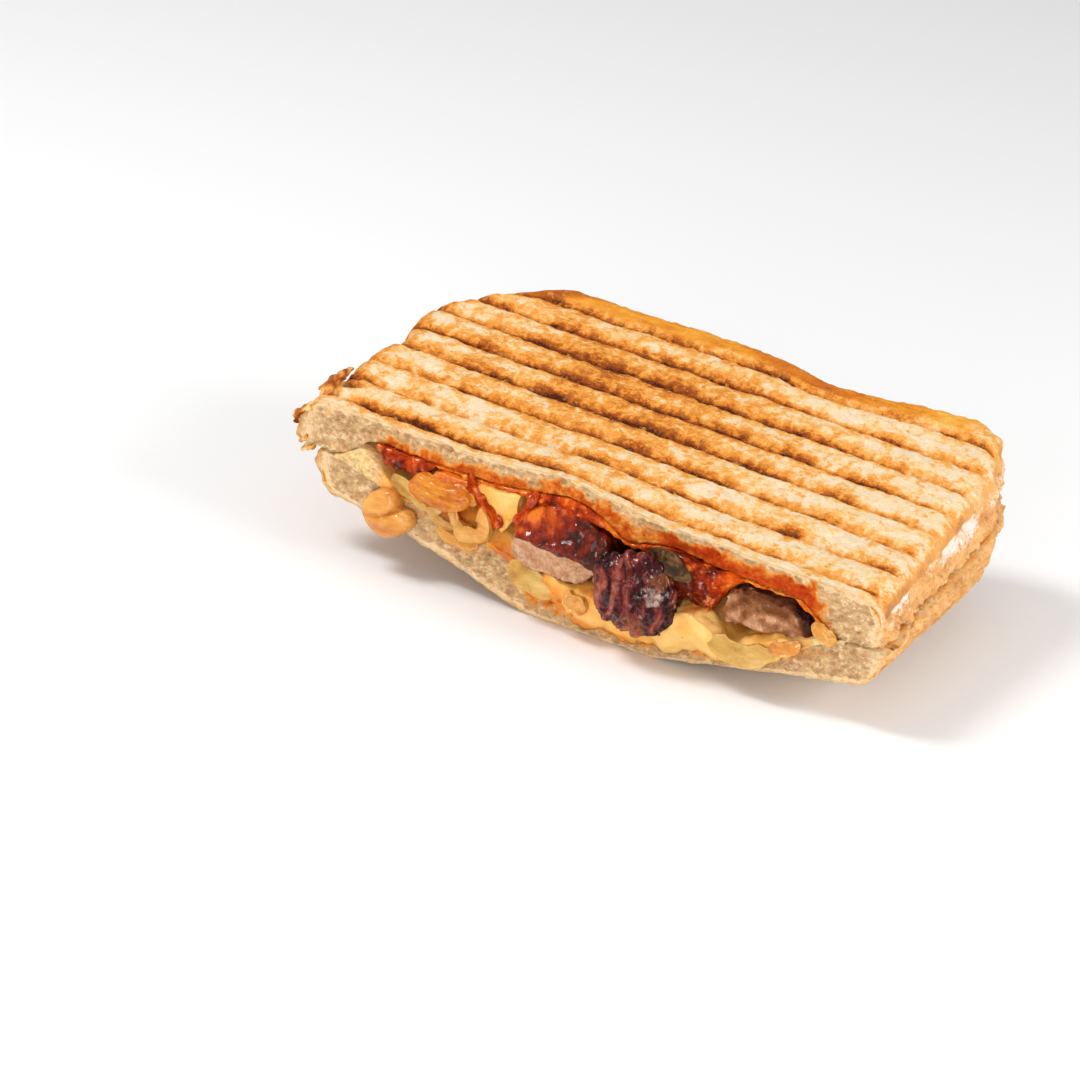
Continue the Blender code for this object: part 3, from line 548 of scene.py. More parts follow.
def dress_bread(piece, s, v, t, upright):
    """Carves crumb, crust and grill marks into a slice and marks what its material needs."""
    x, y, z = places_of(piece)
    on_face = t == 0.0
    at_cut = (v == 0.0) & (t > 0.0)
    on_rind = (t > 0.0) & (t < 1.0) & ~at_cut
    distance = edge_distance(s, v)
    from_end = np.minimum(s, 1.0 - s) * 145.0
    marks = grill_marks(x, v, distance)
    damp = np.zeros(len(x))
    for spot_x, spot_v, radius in DAMP_SPOTS:
        wide = np.hypot((x - spot_x) / 1.5, v - spot_v) + 0.9 * lumps(x, v, 41.0, 2.2)
        damp = np.maximum(damp, smooth(radius, radius * 0.45, wide))
    damp *= 0.85 * (nearest_bar(v) > 1.5)
    pits = pores(x, v, 0.0, 2.6, 0.22) * smooth(-0.1, 0.2, lumps(x, v, 51.0, 9.0))
    fine_lumps = lumps(x, y, z, 1.1)
    face_relief = 0.26 * lumps(x, y, z, 3.4) + 0.22 * lumps(x, y, z, 2.0) + 0.14 * fine_lumps
    face_relief -= 0.25 * damp + 0.4 * pits + 0.25 * np.clip(marks - 0.5, 0.0, 1.0) * (0.5 + fine_lumps)

    large = pores(x / 1.9, y, z * 1.2, 3.3, 0.4) * smooth(-0.25, 0.15, lumps(x, y, z, 11.0))
    fine_pores = pores(x / 1.4, y + 7.0, z, 1.35, 0.48)
    skin = smooth(0.0, 0.16, t) * smooth(1.0, 0.93, t)
    cut_relief = 0.26 * fine_lumps + 0.3 * lumps(x, 0.0, z, 3.0) - (0.8 * large + 0.24 * fine_pores) * skin
    cut_relief = cut_relief * smooth(0.0, 0.22, t) + 0.2 * lumps(x, 5.0, 0.0, 2.2)

    cracks = np.exp(-((lumps(x, y, z, 5.5) / 0.05) ** 2))
    rind_relief = 0.6 * lumps(x, y, z, 2.6) + 0.42 * fine_lumps - 0.5 * cracks
    torn = (s == 0.0) * smooth(50.0, 30.0, y)
    rind_relief += torn * (0.9 * lumps(x, y, z * 0.6, 2.0) + 0.6)
    rind_relief += (s == 1.0) * (0.8 * lumps(x, y * 0.8, z, 1.9) - 0.1)
    inner_relief = 0.1 * lumps(x, y, z, 3.0)
    reliefs = [face_relief, cut_relief, rind_relief]
    press_out(piece, np.select([on_face, at_cut, on_rind], reliefs, inner_relief))

    front_edge = smooth(0.9, 0.0, v) * on_face
    side_edge = smooth(1.3, 0.0, from_end) * on_face * (v > 2.0)
    flour = bump(z - 27.0 - 0.09 * v, 0.0, 3.6) * smooth(-2.0, 10.0, v)
    flour += 0.8 * bump(v, 14.0, 8.0) * bump(z, 17.0, 3.5)
    flour *= on_rind * (s == 1.0) * (0.62 + 1.3 * lumps(x, y * 0.6, z, 6.0))
    rim = 0.8 * smooth(0.14, 0.0, t) * (s < 1.0)
    rim += (s == 1.0) * (0.2 + 0.5 * lumps(x, y, z, 4.5) - 0.3 * flour)
    rim += (s == 0.0) * (0.35 + 0.5 * lumps(x, y, z, 3.5)) * (0.6 + 0.4 * upright)
    toast = 0.8 * smooth(0.26, 0.0, t) + 0.6 * smooth(4.0, 0.5, from_end)
    back_strip = smooth(74.9, 76.9, v + 1.2 * lumps(x, v, 9.0, 5.0)) * smooth(126.0, 118.0, x)
    mark(
        piece,
        browning=np.where(on_face, marks, 0.3),
        cut=at_cut + 0.25 * front_edge,
        rind=on_rind + 0.45 * side_edge,
        rim=on_rind * rim,
        flour=flour * upright,
        # pore: where painted shade darkens the pores carved into the cut.
        pore=np.where(at_cut, np.maximum(large, 0.6 * fine_pores) * skin, 0.0),
        toast=at_cut * toast,
        patch=on_face * damp,
        strip=on_face * back_strip,
    )
    return x, y, z, at_cut


top_slice, s, v, t = slab(
    "top_slice", 361, np.linspace(0.0, DEPTH, 133), 4, 17, top_face, top_inner, crust_side, toasted_bread
)
x, y, z, at_cut = dress_bread(top_slice, s, v, t, 1.0)
right_half = smooth(52.0, 66.0, x)
ragged = t + 0.28 * lumps(x, 0.0, z, 4.5) + 0.12 * lumps(x, 3.0, z, 1.8)
low_band = smooth(0.32 - 0.2 * right_half, 0.95 - 0.3 * right_half, ragged)
soaked = 0.6 * plateau(x, 15.0, 32.0, 2.0) + 0.75 * plateau(x, 32.0, 60.0, 3.0)
soaked += 0.7 * plateau(x, 60.0, 84.0, 4.0) + plateau(x, 86.0, 128.0, 4.0)
under_side = (t == 1.0) & (y < 12.0)
mark(top_slice, stain=at_cut * low_band * soaked + under_side * 0.8 * soaked)
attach(top_slice, "root")
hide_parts("bread_top")


# BOTTOM SLICE
# The other slice of the sandwich, a little shorter. The filling's weight and the plate bent it
# into a shallow boat, so both ends stand clear of the table and its grilled face is below.

def bottom_plan(s, v):
    x, y = slice_plan(s, v)
    from_left = 1.0 - smooth(0.0, 0.2, s)
    from_right = smooth(0.8, 1.0, s)
    return x + from_left * (1.0 + 4.5 * np.exp(-y / 25.0)) + 0.9 * from_right, y * (1.0 - 1.0 / DEPTH)


def bottom_face(s, v):
    x, y = bottom_plan(s, v)
    distance = edge_distance(s, v)
    height = belly_height(x, y) + crust_drop(distance) + bar_groove(v, distance)
    return x, y, np.maximum(0.0, height + 0.2 * lumps(x, y, 50.0, 9.0) - 0.2)


def bottom_inner(s, v):
    x, y = bottom_plan(s, v)
    return x, y, hearth(x, y)


def move_points(piece, x, y, z):
    """Puts each point of a piece at a new place, in millimetres."""
    coords = np.stack([x, y, z], axis=-1)
    piece.data.vertices.foreach_set("co", ((coords - BOX_MIDDLE) * MM).ravel())
    piece.data.update()


bottom_slice, s, v, t = slab(
    "bottom_slice", 321, np.linspace(0.0, DEPTH, 109), 4, 15,
    bottom_face, bottom_inner, crust_side, toasted_bread
)
x, y, z, at_cut = dress_bread(bottom_slice, s, v, t, 0.0)
oil = 0.3 * plateau(x, 14.0, 46.0, 6.0) + 0.75 * plateau(x, 54.0, 112.0, 5.0)
oil += 0.45 * plateau(x, 112.0, 128.0, 4.0)
upper_band = smooth(0.2, 0.9, t + 0.3 * lumps(x, 0.0, z, 5.0))
mark(bottom_slice, stain=at_cut * upper_band * oil * 0.8)
x, y, z = places_of(bottom_slice)
move_points(bottom_slice, x, y, np.maximum(z, 0.0))
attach(bottom_slice, "root")
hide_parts("bread_bottom")


# STEAK
# Three thick strips of beef, cut across the grain. The left one has slid out and is coated with
# cooked tomato; the middle one is seared nearly black; the right one is browned on top.

def tube_piece(name, rings, first_pole, last_pole, material):
    """A closed tube through rings of points, with a pole at each end."""
    points = np.concatenate([*rings, [first_pole], [last_pole]])
    index = np.arange(len(points) - 2).reshape(len(rings), -1)
    faces = []
    for here, there in zip(index, index[1:]):
        faces += np.stack([here, np.roll(here, -1), np.roll(there, -1), there], axis=-1).tolist()
    for ring, pole in ((index[0], index.size), (index[-1], index.size + 1)):
        faces += [[int(a), int(b), pole] for a, b in zip(ring, np.roll(ring, -1))]
    return new_piece(name, points, faces, material)


def lump_piece(name, section, depths, caps, around, material):
    """A closed lump: section(y, angle) gives x and z of its outline, and caps are the depths of the
    blunt front end and the round back end."""
    angle = np.linspace(0.0, 2.0 * np.pi, around, endpoint=False)
    front, back = caps
    front_sizes = np.sin(np.arange(1, 12) * np.pi / 24)
    back_sizes = np.cos(np.linspace(0.15, 1.45, 8))
    stations = [(depths[0] - front * (1.0 - size**10), size) for size in front_sizes]
    stations += [(y, 1.0) for y in depths]
    stations += [(depths[-1] + back * (1.0 - size**3), size) for size in back_sizes]
    rings = []
    for y, size in stations:
        x, z = section(np.clip(y, depths[0], depths[-1]), angle)
        x = x.mean() + (x - x.mean()) * size
        z = z.mean() + (z - z.mean()) * size
        rings.append(np.stack([x, np.full(around, y), z], axis=-1))
    return tube_piece(name, rings, rings[0].mean(0) - (0.0, 0.02, 0.0), rings[-1].mean(0), material)


def rounded(angle, power):
    c, s = np.cos(angle), np.sin(angle)
    return np.abs(c) ** power * np.sign(c), np.abs(s) ** power * np.sign(s)


def left_section(y, angle):
    u, w = rounded(angle, 0.6)
    inner = max(y, 0.0)
    end = 0.4 + 0.6 * smooth(58.0, 46.0, y)
    x = mix(65.4, 62.0, smooth(-5.0, 50.0, y)) + u * mix(11.2, 9.0, smooth(0.0, 50.0, y)) * end
    high = np.minimum(28.0 + 1.6 * min(0.0, y), ceiling(x, inner) - 2.6)
    lost_corner = 0.03 * (65.0 - x) + 0.9 * np.maximum(0.0, x - 70.5)
    low = 12.0 + 3.0 * smooth(0.0, 30.0, y) + lost_corner * (y < 3.0)
    z = mix(low, high, 0.5 + w * end / 2.0)
    return x + 0.7 * lumps(x, y, z, 5.0), z + 0.5 * lumps(x, y, z + 9.0, 5.0)


def right_section(y, angle):
    u, w = rounded(angle, 0.42)
    inner = max(y, 0.0)
    end = smooth(53.0, 42.0, y)
    x = 116.0 - 0.06 * y + u * 10.2 * (0.5 + 0.5 * end)
    high = np.minimum(22.6 + 0.04 * (x - 106.0) + 0.07 * inner, ceiling(x, inner) - 2.4)
    low = np.maximum(14.6 + 0.11 * (x - 106.0) + 0.02 * y, hearth(x, inner) + 1.6)
    z = mix(low, high, 0.5 + w * (0.3 + 0.2 * end))
    return x + 0.6 * lumps(x, y, z, 5.0), z + 0.5 * lumps(x, y, z + 9.0, 5.0)


# How thick the seared piece is at each depth: blunt in front of the cut, tapered behind it.
SEARED_TAPER = (
    (-9.6, 0.45), (-9.0, 0.7), (-7.6, 0.88), (-5.6, 0.98), (-3.0, 1.0),
    (-0.6, 0.95), (3.0, 0.84), (10.0, 0.72), (18.0, 0.6), (23.0, 0.4),
)


def seared_section(y, angle):
    u, w = rounded(angle, 0.75)
    depths, sizes = zip(*SEARED_TAPER)
    size = np.interp(y, depths, sizes)
    across, up = u * 9.5 * size, w * 9.5 * size
    fibre = np.sin(1.45 * across + 0.05 * up * up + 0.6)
    lump = 1.3 * lumps(u, w, y / 9.5, 0.8)
    x = 85.9 + across + lump * u
    z = 16.4 + 1.0 * smooth(-4.0, 8.0, y) + up * (1.0 + 0.03 * fibre) + lump * w
    z = z - 5.2 * bump(x, 81.0, 4.4) * smooth(-6.5, -2.0, y) * np.maximum(w, 0.0)
    return x, np.minimum(z, ceiling(x, max(y, 0.0)) - 1.4) if y > -1.0 else z


MEAT = tone(204, 148, 108)
MEAT_FIBRE = tone(168, 110, 72)
MEAT_FAT = tone(232, 192, 156)
SEAR = tone(58, 20, 14)
SEAR_PURPLE = tone(52, 16, 24)
GLAZE = tone(116, 24, 6)
GLAZE_ORANGE = tone(232, 118, 26)

cooked_beef, recipe, shader = new_finish(
    "cooked_beef", Specular_IOR_Level=0.2, Coat_IOR=1.42, Coat_Roughness=0.06,
    Subsurface_Weight=0.1, Subsurface_Scale=0.003, Specular_Tint=(1.0, 0.62, 0.4, 1.0),
)
places = recipe.places()
fine, coarse = recipe.speckle(places, 1.0)
_, clumps = recipe.speckle(places, 0.6)
fibres = recipe.grain(recipe.places((0.8, 1.6, 1.3)), 0.7, 4.0, 0.6, 0.8)
browned = recipe.sum(recipe.mask("browned"), (fibres, -0.5), (clumps, 0.5), (coarse, 0.7))
meat = recipe.ramp(
    recipe.sum(browned, (1.0, -0.1)),
    (0.1, MEAT_FAT), (0.3, MEAT), (0.5, MEAT_FIBRE), (0.8, tone(118, 68, 36)),
)
sear = recipe.sum(recipe.mask("sear"), (coarse, 0.9), (clumps, 0.6), (1.0, -0.75))
browned = recipe.ramp(
    sear, (0.2, tone(150, 92, 56)), (0.5, tone(104, 52, 30)), (0.75, SEAR), (1.0, SEAR_PURPLE)
)
sear = recipe.step(sear, 0.15, 0.5)
meat = recipe.blend(sear, meat, browned)
blobs = recipe.cells(places, 2.4)
coat = recipe.step(recipe.sum(recipe.mask("coat"), (coarse, 0.8), (1.0, -0.4)), 0.35, 0.55)
orange = recipe.sum(recipe.mask("orange"), (coarse, 0.7), (clumps, 0.5))
sauce_colour = recipe.ramp(
    recipe.sum(orange, (blobs, -0.35), (1.0, -0.35)),
    (0.02, tone(56, 12, 6)), (0.2, GLAZE), (0.4, tone(146, 38, 5)),
    (0.62, tone(198, 76, 10)), (0.9, GLAZE_ORANGE),
)
colour = recipe.blend(coat, meat, sauce_colour)
roughness = recipe.sum(0.5, (coat, -0.3), (sear, -0.15), (fine, 0.16))
normal = recipe.relief((fibres, 0.5), (fine, 0.35), (clumps, 0.5), (blobs, -0.3))
damp = recipe.step(clumps, 0.5, 0.62)
gloss = recipe.sum(0.0, (coat, 0.35), (recipe.times(coat, damp), 0.6), (sear, 0.1), (damp, 0.25))
finish_with(recipe, shader, colour, roughness, normal, gloss)

left_depths = np.concatenate([np.linspace(-5.0, 6.0, 34), np.linspace(7.0, 52.0, 40)])
left_steak = lump_piece("left_steak", left_section, left_depths, (0.25, 1.8), 150, cooked_beef)
x, y, z = places_of(left_steak)
lean = smooth(20.5, 12.0, z) * smooth(1.0, -4.6, y) * 2.2
move_points(left_steak, x, y + lean, z)
coated = smooth(18.2, 19.6, z + 0.9 * lumps(x, y, z, 2.6) - 0.09 * (65.0 - x))
blob = pores(x, y, z, 2.8, 0.6)
large_blob = pores(x, y, z, 4.2, 0.62)
sauce_relief = 0.35 * blob + 0.6 * large_blob + 0.45 * lumps(x, y, z, 1.8)
meat_relief = 0.4 * lumps(x * 0.8, y, z * 1.4, 1.6) + 0.3 * lumps(x, y, z, 0.8)
press_out(left_steak, mix(meat_relief, sauce_relief, coated))
orange = smooth(68.0, 57.0, x - 0.6 * (z - 22.0)) * (0.3 + 0.7 * large_blob)
orange += 0.2 * blob + 0.25 * smooth(28.0, 31.0, z)
sear = smooth(73.5, 76.5, x) * 0.6 + smooth(13.0, 12.0, z) * 0.5
mark(left_steak, coat=coated, browned=0.0, sear=sear, orange=orange)
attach(left_steak, "root")
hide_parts("steak_left")

right_depths = np.concatenate([np.linspace(-1.4, 6.0, 22), np.linspace(7.0, 48.0, 30)])
right_steak = lump_piece("right_steak", right_section, right_depths, (0.5, 1.5), 140, cooked_beef)
x, y, z = places_of(right_steak)
fine_relief = 0.6 * lumps(x * 0.7, y, z * 1.6, 1.8) + 0.6 * lumps(x, y, z, 1.1)
press_out(right_steak, fine_relief + 0.9 * lumps(x, y, z, 4.0))
wave = lumps(x, y, z, 2.0)
browned = 0.22 + 0.45 * smooth(19.0, 22.5, z + 1.2 * wave) + 0.6 * lumps(x, y, z, 2.2)
sear = 0.45 * smooth(20.6, 22.6, z + 0.6 * wave)
sear += 0.9 * smooth(122.5, 126.5, x + 0.5 * (z - 18.0)) + 0.3 * smooth(16.0, 14.8, z)
coat = 0.8 * smooth(107.5, 104.5, x)
mark(right_steak, coat=coat, browned=browned, sear=sear, orange=0.6 * smooth(110.0, 105.0, x))
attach(right_steak, "root")
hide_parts("steak_right")

seared_beef, recipe, shader = new_finish(
    "seared_beef", Specular_IOR_Level=0.05, Coat_Roughness=0.09, Coat_IOR=1.5,
    Specular_Tint=(1.0, 0.62, 0.5, 1.0),
)
places = recipe.places()
fine, coarse = recipe.speckle(places, 0.9)
_, clumps = recipe.speckle(places, 0.45)
fibres = recipe.grain(recipe.places((0.8, 2.0, 4.0)), 0.8, 4.0, 0.6, 0.4)
ridge = recipe.mask("ridge")
dark = recipe.ramp(
    recipe.sum(0.0, (fibres, 0.25), (ridge, 0.6), (coarse, 0.6), (1.0, -0.1)),
    (0.25, tone(28, 5, 9)), (0.5, tone(70, 15, 20)), (0.75, tone(120, 42, 36)), (1.0, tone(172, 90, 66)),
)
fat = recipe.sum(recipe.mask("fat"), (coarse, 1.6), (clumps, 1.0), (1.0, -1.3))
fat_colour = recipe.ramp(coarse, (0.35, tone(96, 60, 60)), (0.65, tone(206, 176, 160)))
dark = recipe.blend(recipe.step(fat, 0.3, 0.8), dark, fat_colour)
glazed = recipe.step(recipe.sum(recipe.mask("glaze"), (coarse, 1.0), (1.0, -0.5)), 0.3, 0.7)
glaze_colour = recipe.ramp(fibres, (0.35, tone(120, 54, 26)), (0.65, tone(190, 112, 60)))
dark = recipe.blend(recipe.times(glazed, 0.5), dark, glaze_colour)
roughness = recipe.sum(0.1, (fine, 0.35))
normal = recipe.relief((fibres, 0.35), (fine, 0.2), (clumps, 1.0))
gloss = recipe.sum(0.15, (recipe.step(clumps, 0.44, 0.6), 0.85))
finish_with(recipe, shader, dark, roughness, normal, gloss)

seared_depths = np.concatenate([np.linspace(-9.6, 0.0, 40), np.linspace(0.8, 22.5, 22)])
seared_steak = lump_piece("seared_steak", seared_section, seared_depths, (0.5, 1.5), 150, seared_beef)
x, y, z = places_of(seared_steak)
curve = 1.45 * (x - 85.9) + 0.05 * (z - 16.0) ** 2 + 2.2 * lumps(x, y, z, 4.0)
ridge_wave = np.sin(curve + 0.6)
facing = smooth(4.0, -2.0, y)
strands = 0.1 * ridge_wave + 0.6 * lumps(curve * 0.45, y * 0.4, z * 0.09, 1.0)
strands += 0.45 * lumps(curve * 1.1, y, z * 0.25, 1.0)
press_out(seared_steak, facing * (strands + 0.6 * lumps(x, y, z, 3.4) + 0.2 * lumps(x, y, z, 0.9)))
ridge = 0.5 + 1.1 * lumps(curve * 0.4, y * 0.4, z * 0.07, 1.0)
ridge += 0.5 * lumps(curve * 1.1, y, z * 0.2, 1.0)
fat = 0.9 * bump(x, 92.0, 2.6) * bump(z, 18.0 - 0.5 * (x - 92.0), 2.2)
glaze = bump(x, 88.5, 3.0) * bump(z, 10.0, 3.5) + 0.8 * bump(x, 93.0, 2.5) * bump(z, 21.5, 2.5)
mark(seared_steak, ridge=ridge, fat=fat, glaze=glaze)
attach(seared_steak, "root")
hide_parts("steak_seared")


# SAUCE
# Tomato cooked down with oil, spread under the top slice. It has run forward and hangs in a deep
# blob between the seared steak and the right one.

def sauce_thickness(x, y):
    at_cut = 0.7 + 2.9 * plateau(x, 17.0, 29.0, 2.0) + 2.0 * plateau(x, 56.0, 74.0, 3.0)
    at_cut += 11.0 * plateau(x, 92.0, 104.0, 5.0)
    return mix(1.6, at_cut, np.exp(-((np.maximum(0.0, y) / 8.0) ** 2)))


def sauce_pools(x):
    """1 where the sauce stands out at the cut, 0 where it is only a film."""
    pools = plateau(x, 17.0, 29.5, 1.5), 0.8 * plateau(x, 54.0, 74.0, 3.0), plateau(x, 89.5, 106.0, 3.0)
    return np.max(pools, axis=0)


def sauce_face(s, v):
    inset = 14.0 * smooth(4.0, 50.0, v)
    x = mix(15.5 + 1.4 * inset, 128.5 - inset, s)
    film = 1.0 - sauce_pools(x)
    y = v + (film * 1.5 - 0.9 * plateau(x, 90.0, 106.0, 3.0)) * (v < 0.0)
    y = np.where((v >= 0.0) & (v < 2.0), mix(np.maximum(y, 0.8 * film), y, v / 2.0), y)
    return x, y, ceiling(x, np.maximum(v, 0.0)) - GAP


def sauce_inner(s, v):
    x, y, z = sauce_face(s, v)
    inner = np.maximum(v, 0.0)
    thick = sauce_thickness(x, v) + 0.3 * lumps(x, y, 7.0, 4.0)
    bed = np.minimum(hearth(x, inner) + bed_thickness(x, inner) + GAP, bed_roof(x, inner))
    return x, y, np.minimum(z - 0.6, np.maximum(bed + 3.0 * GAP, z - thick))


def sauce_side(s, v, outer, under, t):
    x, y, z = mix(outer, under, t)
    out = 1.1 * np.sin(np.pi * t) * plateau(x, 90.0, 106.0, 3.0) + 0.5 * np.sin(np.pi * t)
    return x, y - out * (v < -0.5), z


def bed_thickness(x, y):
    at_cut = 1.8 + 3.5 * plateau(x, 4.0, 17.0, 3.0) + 6.5 * plateau(x, 60.0, 104.0, 6.0)
    at_cut = at_cut + 2.4 * plateau(x, 108.0, 126.0, 4.0) + 2.0 * plateau(x, 91.0, 106.0, 2.5)
    at_cut = at_cut + 2.6 * plateau(x, 27.0, 56.0, 4.0) * smooth(-0.5, 2.5, y)
    inside = 11.0 - 6.0 * plateau(x, 50.0, 77.0, 5.0) - 6.0 * plateau(x, 103.0, 129.0, 5.0)
    near = smooth(2.0, mix(30.0, 12.0, plateau(x, 22.0, 52.0, 4.0)), y)
    return mix(at_cut, inside, near)


def bed_roof(x, y):
    return ceiling(x, y) - GAP - 2.6 * smooth(13.0, 17.0, x)


tomato_sauce, recipe, shader = new_finish(
    "tomato_sauce", Specular_IOR_Level=0.15, Coat_IOR=1.4, Coat_Roughness=0.07,
    Subsurface_Weight=0.1, Subsurface_Scale=0.002, Subsurface_Radius=(1.0, 0.3, 0.05),
    Specular_Tint=(1.0, 0.62, 0.4, 1.0),
)
places = recipe.places()
fine, coarse = recipe.speckle(places, 1.1)
_, clumps = recipe.speckle(places, 0.6)
pulp = recipe.cells(places, 1.6)
bright = recipe.sum(recipe.mask("bright"), (coarse, 0.8), (clumps, 0.6))
red = recipe.ramp(
    recipe.sum(bright, (pulp, -0.25), (fine, 0.3), (1.0, -0.75)),
    (0.08, tone(92, 18, 4)), (0.25, tone(158, 44, 5)), (0.45, tone(198, 68, 6)),
    (0.65, tone(224, 100, 12)), (0.9, tone(240, 152, 48)),
)
herbs = recipe.step(recipe.cells(places, 3.1), 0.13, 0.08)
red = recipe.blend(recipe.times(herbs, 0.7), red, tone(60, 34, 12))
lit_pulp = recipe.step(recipe.sum(clumps, (coarse, 0.5)), 0.82, 0.95)
red = recipe.blend(recipe.times(lit_pulp, 0.8), red, tone(236, 128, 34))
normal = recipe.relief((fine, 0.25), (clumps, 0.9), (pulp, -0.6))
roughness = recipe.sum(0.2, (fine, 0.25))
finish_with(recipe, shader, red, roughness, normal, recipe.step(clumps, 0.46, 0.58))

sauce_rows = np.concatenate([[-0.8, -0.4], np.linspace(0.0, 12.0, 25), np.linspace(13.5, 66.0, 36)])
sauce_layer, _, v, t = slab(
    "sauce_layer", 301, sauce_rows, 2, 13, sauce_face, sauce_inner, sauce_side, tomato_sauce
)
x, y, z = places_of(sauce_layer)
at_front = (v < 2.0) * (0.25 + 0.75 * smooth(0.0, 0.6, t))
pulp_relief = 0.55 * pores(x, y, z, 2.2, 0.65) + 0.7 * lumps(x, y, z, 2.8) + 0.25 * lumps(x, y, z, 1.1)
press_out(sauce_layer, at_front * (pulp_relief + 0.15))
bright = 0.28 + 0.45 * (1.0 - np.clip(sauce_pools(x), 0.0, 1.0)) + 0.35 * lumps(x, y, z, 4.0)
mark(sauce_layer, bright=bright - 0.2 * plateau(x, 92.0, 104.0, 4.0))
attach(sauce_layer, "root")
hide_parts("sauce")


def line_path(start, end, sag):
    def path(t):
        point = Vector(start).lerp(Vector(end), t)
        point.z -= sag * np.sin(np.pi * t)
        return point

    return path


def soft_strip(name, path, across, width, thickness, seed, uneven, material):
    """A strip with a cupped section, wavy edges and blunt ends."""
    steps, around = 60, 28
    rings = []
    for k in range(1, steps):
        t = k / steps
        middle = path(t)
        ahead = (path(t + 0.01) - path(t - 0.01)).normalized()
        side = Vector(across)
        side = (side - ahead * side.dot(ahead)).normalized()
        up = ahead.cross(side)
        swelling = 1.0 + 0.2 * uneven * noise.noise((t * 5.0, seed + 3.0, 1.0))
        end = min(1.08, 1.35 * np.sin(np.pi * t) ** 0.4) * swelling
        wave = 0.4 * uneven * noise.noise((t * 4.0, seed, 0.0))
        turn = 2.0 * noise.noise((t * 2.0, seed, 7.0))
        ring = []
        for n in range(around):
            u, w = (float(part) for part in rounded(2.0 * np.pi * n / around, 0.7))
            rim = 1.0 + wave * u + 0.12 * uneven * noise.noise((t * 13.0, u * 2.0, seed + 5.0))
            dent = 0.7 * uneven * noise.noise((t * 3.5, u * 0.9, seed + 9.0))
            cup = 0.45 * (u**2 - 0.4) + 0.22 * np.cos(5.5 * u + turn) + dent
            out, rise = u * width * rim, (w * 0.8 + cup) * thickness
            ring.append(middle + (side * out + up * rise) * (end / 2.0))
        rings.append(ring)
    piece = tube_piece(name, rings, path(0.0), path(1.0), material)
    x, y, z = places_of(piece)
    press_out(piece, uneven * (0.2 * lumps(x, y, z, 2.6) + 0.07 * lumps(x, y, z, 0.9)))
    return piece


FACING = (0.0, 1.0, 0.0)
# Start, end, sag and width of the thin runs of sauce on the cheese beside the left steak.
SAUCE_RUNS = (
    ((39.8, -1.1, 28.8), (49.8, -1.6, 19.2), 0.9, 2.5),
    ((57.8, -1.4, 29.8), (53.0, -1.7, 20.4), 0.4, 1.9),
)
for k, (start, end, sag, width) in enumerate(SAUCE_RUNS):
    path = line_path(start, end, sag)
    run = soft_strip(f"sauce_run_{k + 1}", path, FACING, 0.8, width, 60.0 + k, 1.8, tomato_sauce)
    mark(run, bright=0.42)
    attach(run, "root")


# CHEESE
# Sliced cheese that melted on the bottom slice and welled out over the cut, and a folded end of
# another slice that hangs from the bread above, left of the steak.

def bed_front(x):
    welled = 2.4 * plateau(x, 62.0, 106.0, 5.0) + 0.9 * plateau(x, 90.0, 106.0, 3.0)
    return -0.8 - welled - 0.8 * plateau(x, 108.0, 125.0, 3.0)


def bed_x(s, y):
    left = 5.5 + 3.0 * smooth(0.0, 10.0, y) + 0.9 * np.maximum(0.0, y - 45.0)
    return mix(left, 134.5 - 3.0 * smooth(0.0, 10.0, y) - 0.1 * np.maximum(y, 0.0), s)


def bed_face(s, v):
    y = np.where(v > 0.0, v, mix(bed_front(bed_x(s, 0.0)), 0.0, (v + 2.0) / 2.0))
    x = bed_x(s, y)
    inner = np.maximum(y, 0.0)
    rounding = 1.6 * (1.0 - smooth(-2.5, 0.5, v))
    thick = bed_thickness(x, inner) - rounding * np.minimum(1.0, bed_thickness(x, inner) / 4.0)
    low = hearth(x, inner) + GAP
    high = low + thick + 0.5 * lumps(x, y, 2.0, 6.0)
    return x, y, np.maximum(low + 0.7, np.minimum(high, bed_roof(x, inner)))


def bed_inner(s, v):
    y = np.where(v < 0.0, -0.6, v)
    x = bed_x(s, np.maximum(y, 0.0))
    hang = 1.9 * plateau(x, 62.0, 124.0, 4.0) * (v < -1.5) * (0.75 + 0.5 * np.sin(0.55 * x))
    return x, y, hearth(x, np.maximum(y, 0.0)) + GAP - hang


def bed_side(s, v, outer, under, t):
    x, y, z = mix(outer, under, t)
    return x, y - 1.5 * np.sin(np.pi * t) * plateau(x, 60.0, 108.0, 4.0) * (v < -1.5), z


melted_cheese, recipe, shader = new_finish(
    "melted_cheese", Specular_IOR_Level=0.3, Coat_Roughness=0.12, Subsurface_Weight=0.3,
    Subsurface_Scale=0.004, Subsurface_Radius=(1.0, 0.55, 0.18),
)
places = recipe.places()
fine, coarse = recipe.speckle(places, 2.2)
yellow = recipe.ramp(
    recipe.sum(recipe.mask("warm"), (coarse, 1.0), (1.0, -0.5)),
    (0.0, tone(244, 192, 112)), (0.35, tone(242, 174, 80)),
    (0.65, tone(236, 146, 48)), (0.95, tone(216, 106, 24)),
)
oily = recipe.step(recipe.sum(recipe.mask("oil"), (coarse, 1.2), (1.0, -0.6)), 0.3, 0.8)
oil_colour = recipe.ramp(oily, (0.0, tone(236, 140, 40)), (0.6, tone(190, 70, 12)), (1.0, tone(146, 36, 8)))
yellow = recipe.blend(recipe.times(oily, 0.9), yellow, oil_colour)
soaked = recipe.sum(recipe.mask("bready"), (fine, 0.8), (coarse, 0.8), (1.0, -0.8))
soaked_colour = recipe.ramp(fine, (0.35, tone(206, 160, 98)), (0.6, tone(236, 202, 142)))
yellow = recipe.blend(recipe.step(soaked, 0.1, 0.6), yellow, soaked_colour)
pinholes = recipe.step(recipe.cells(places, 1.9), 0.14, 0.05)
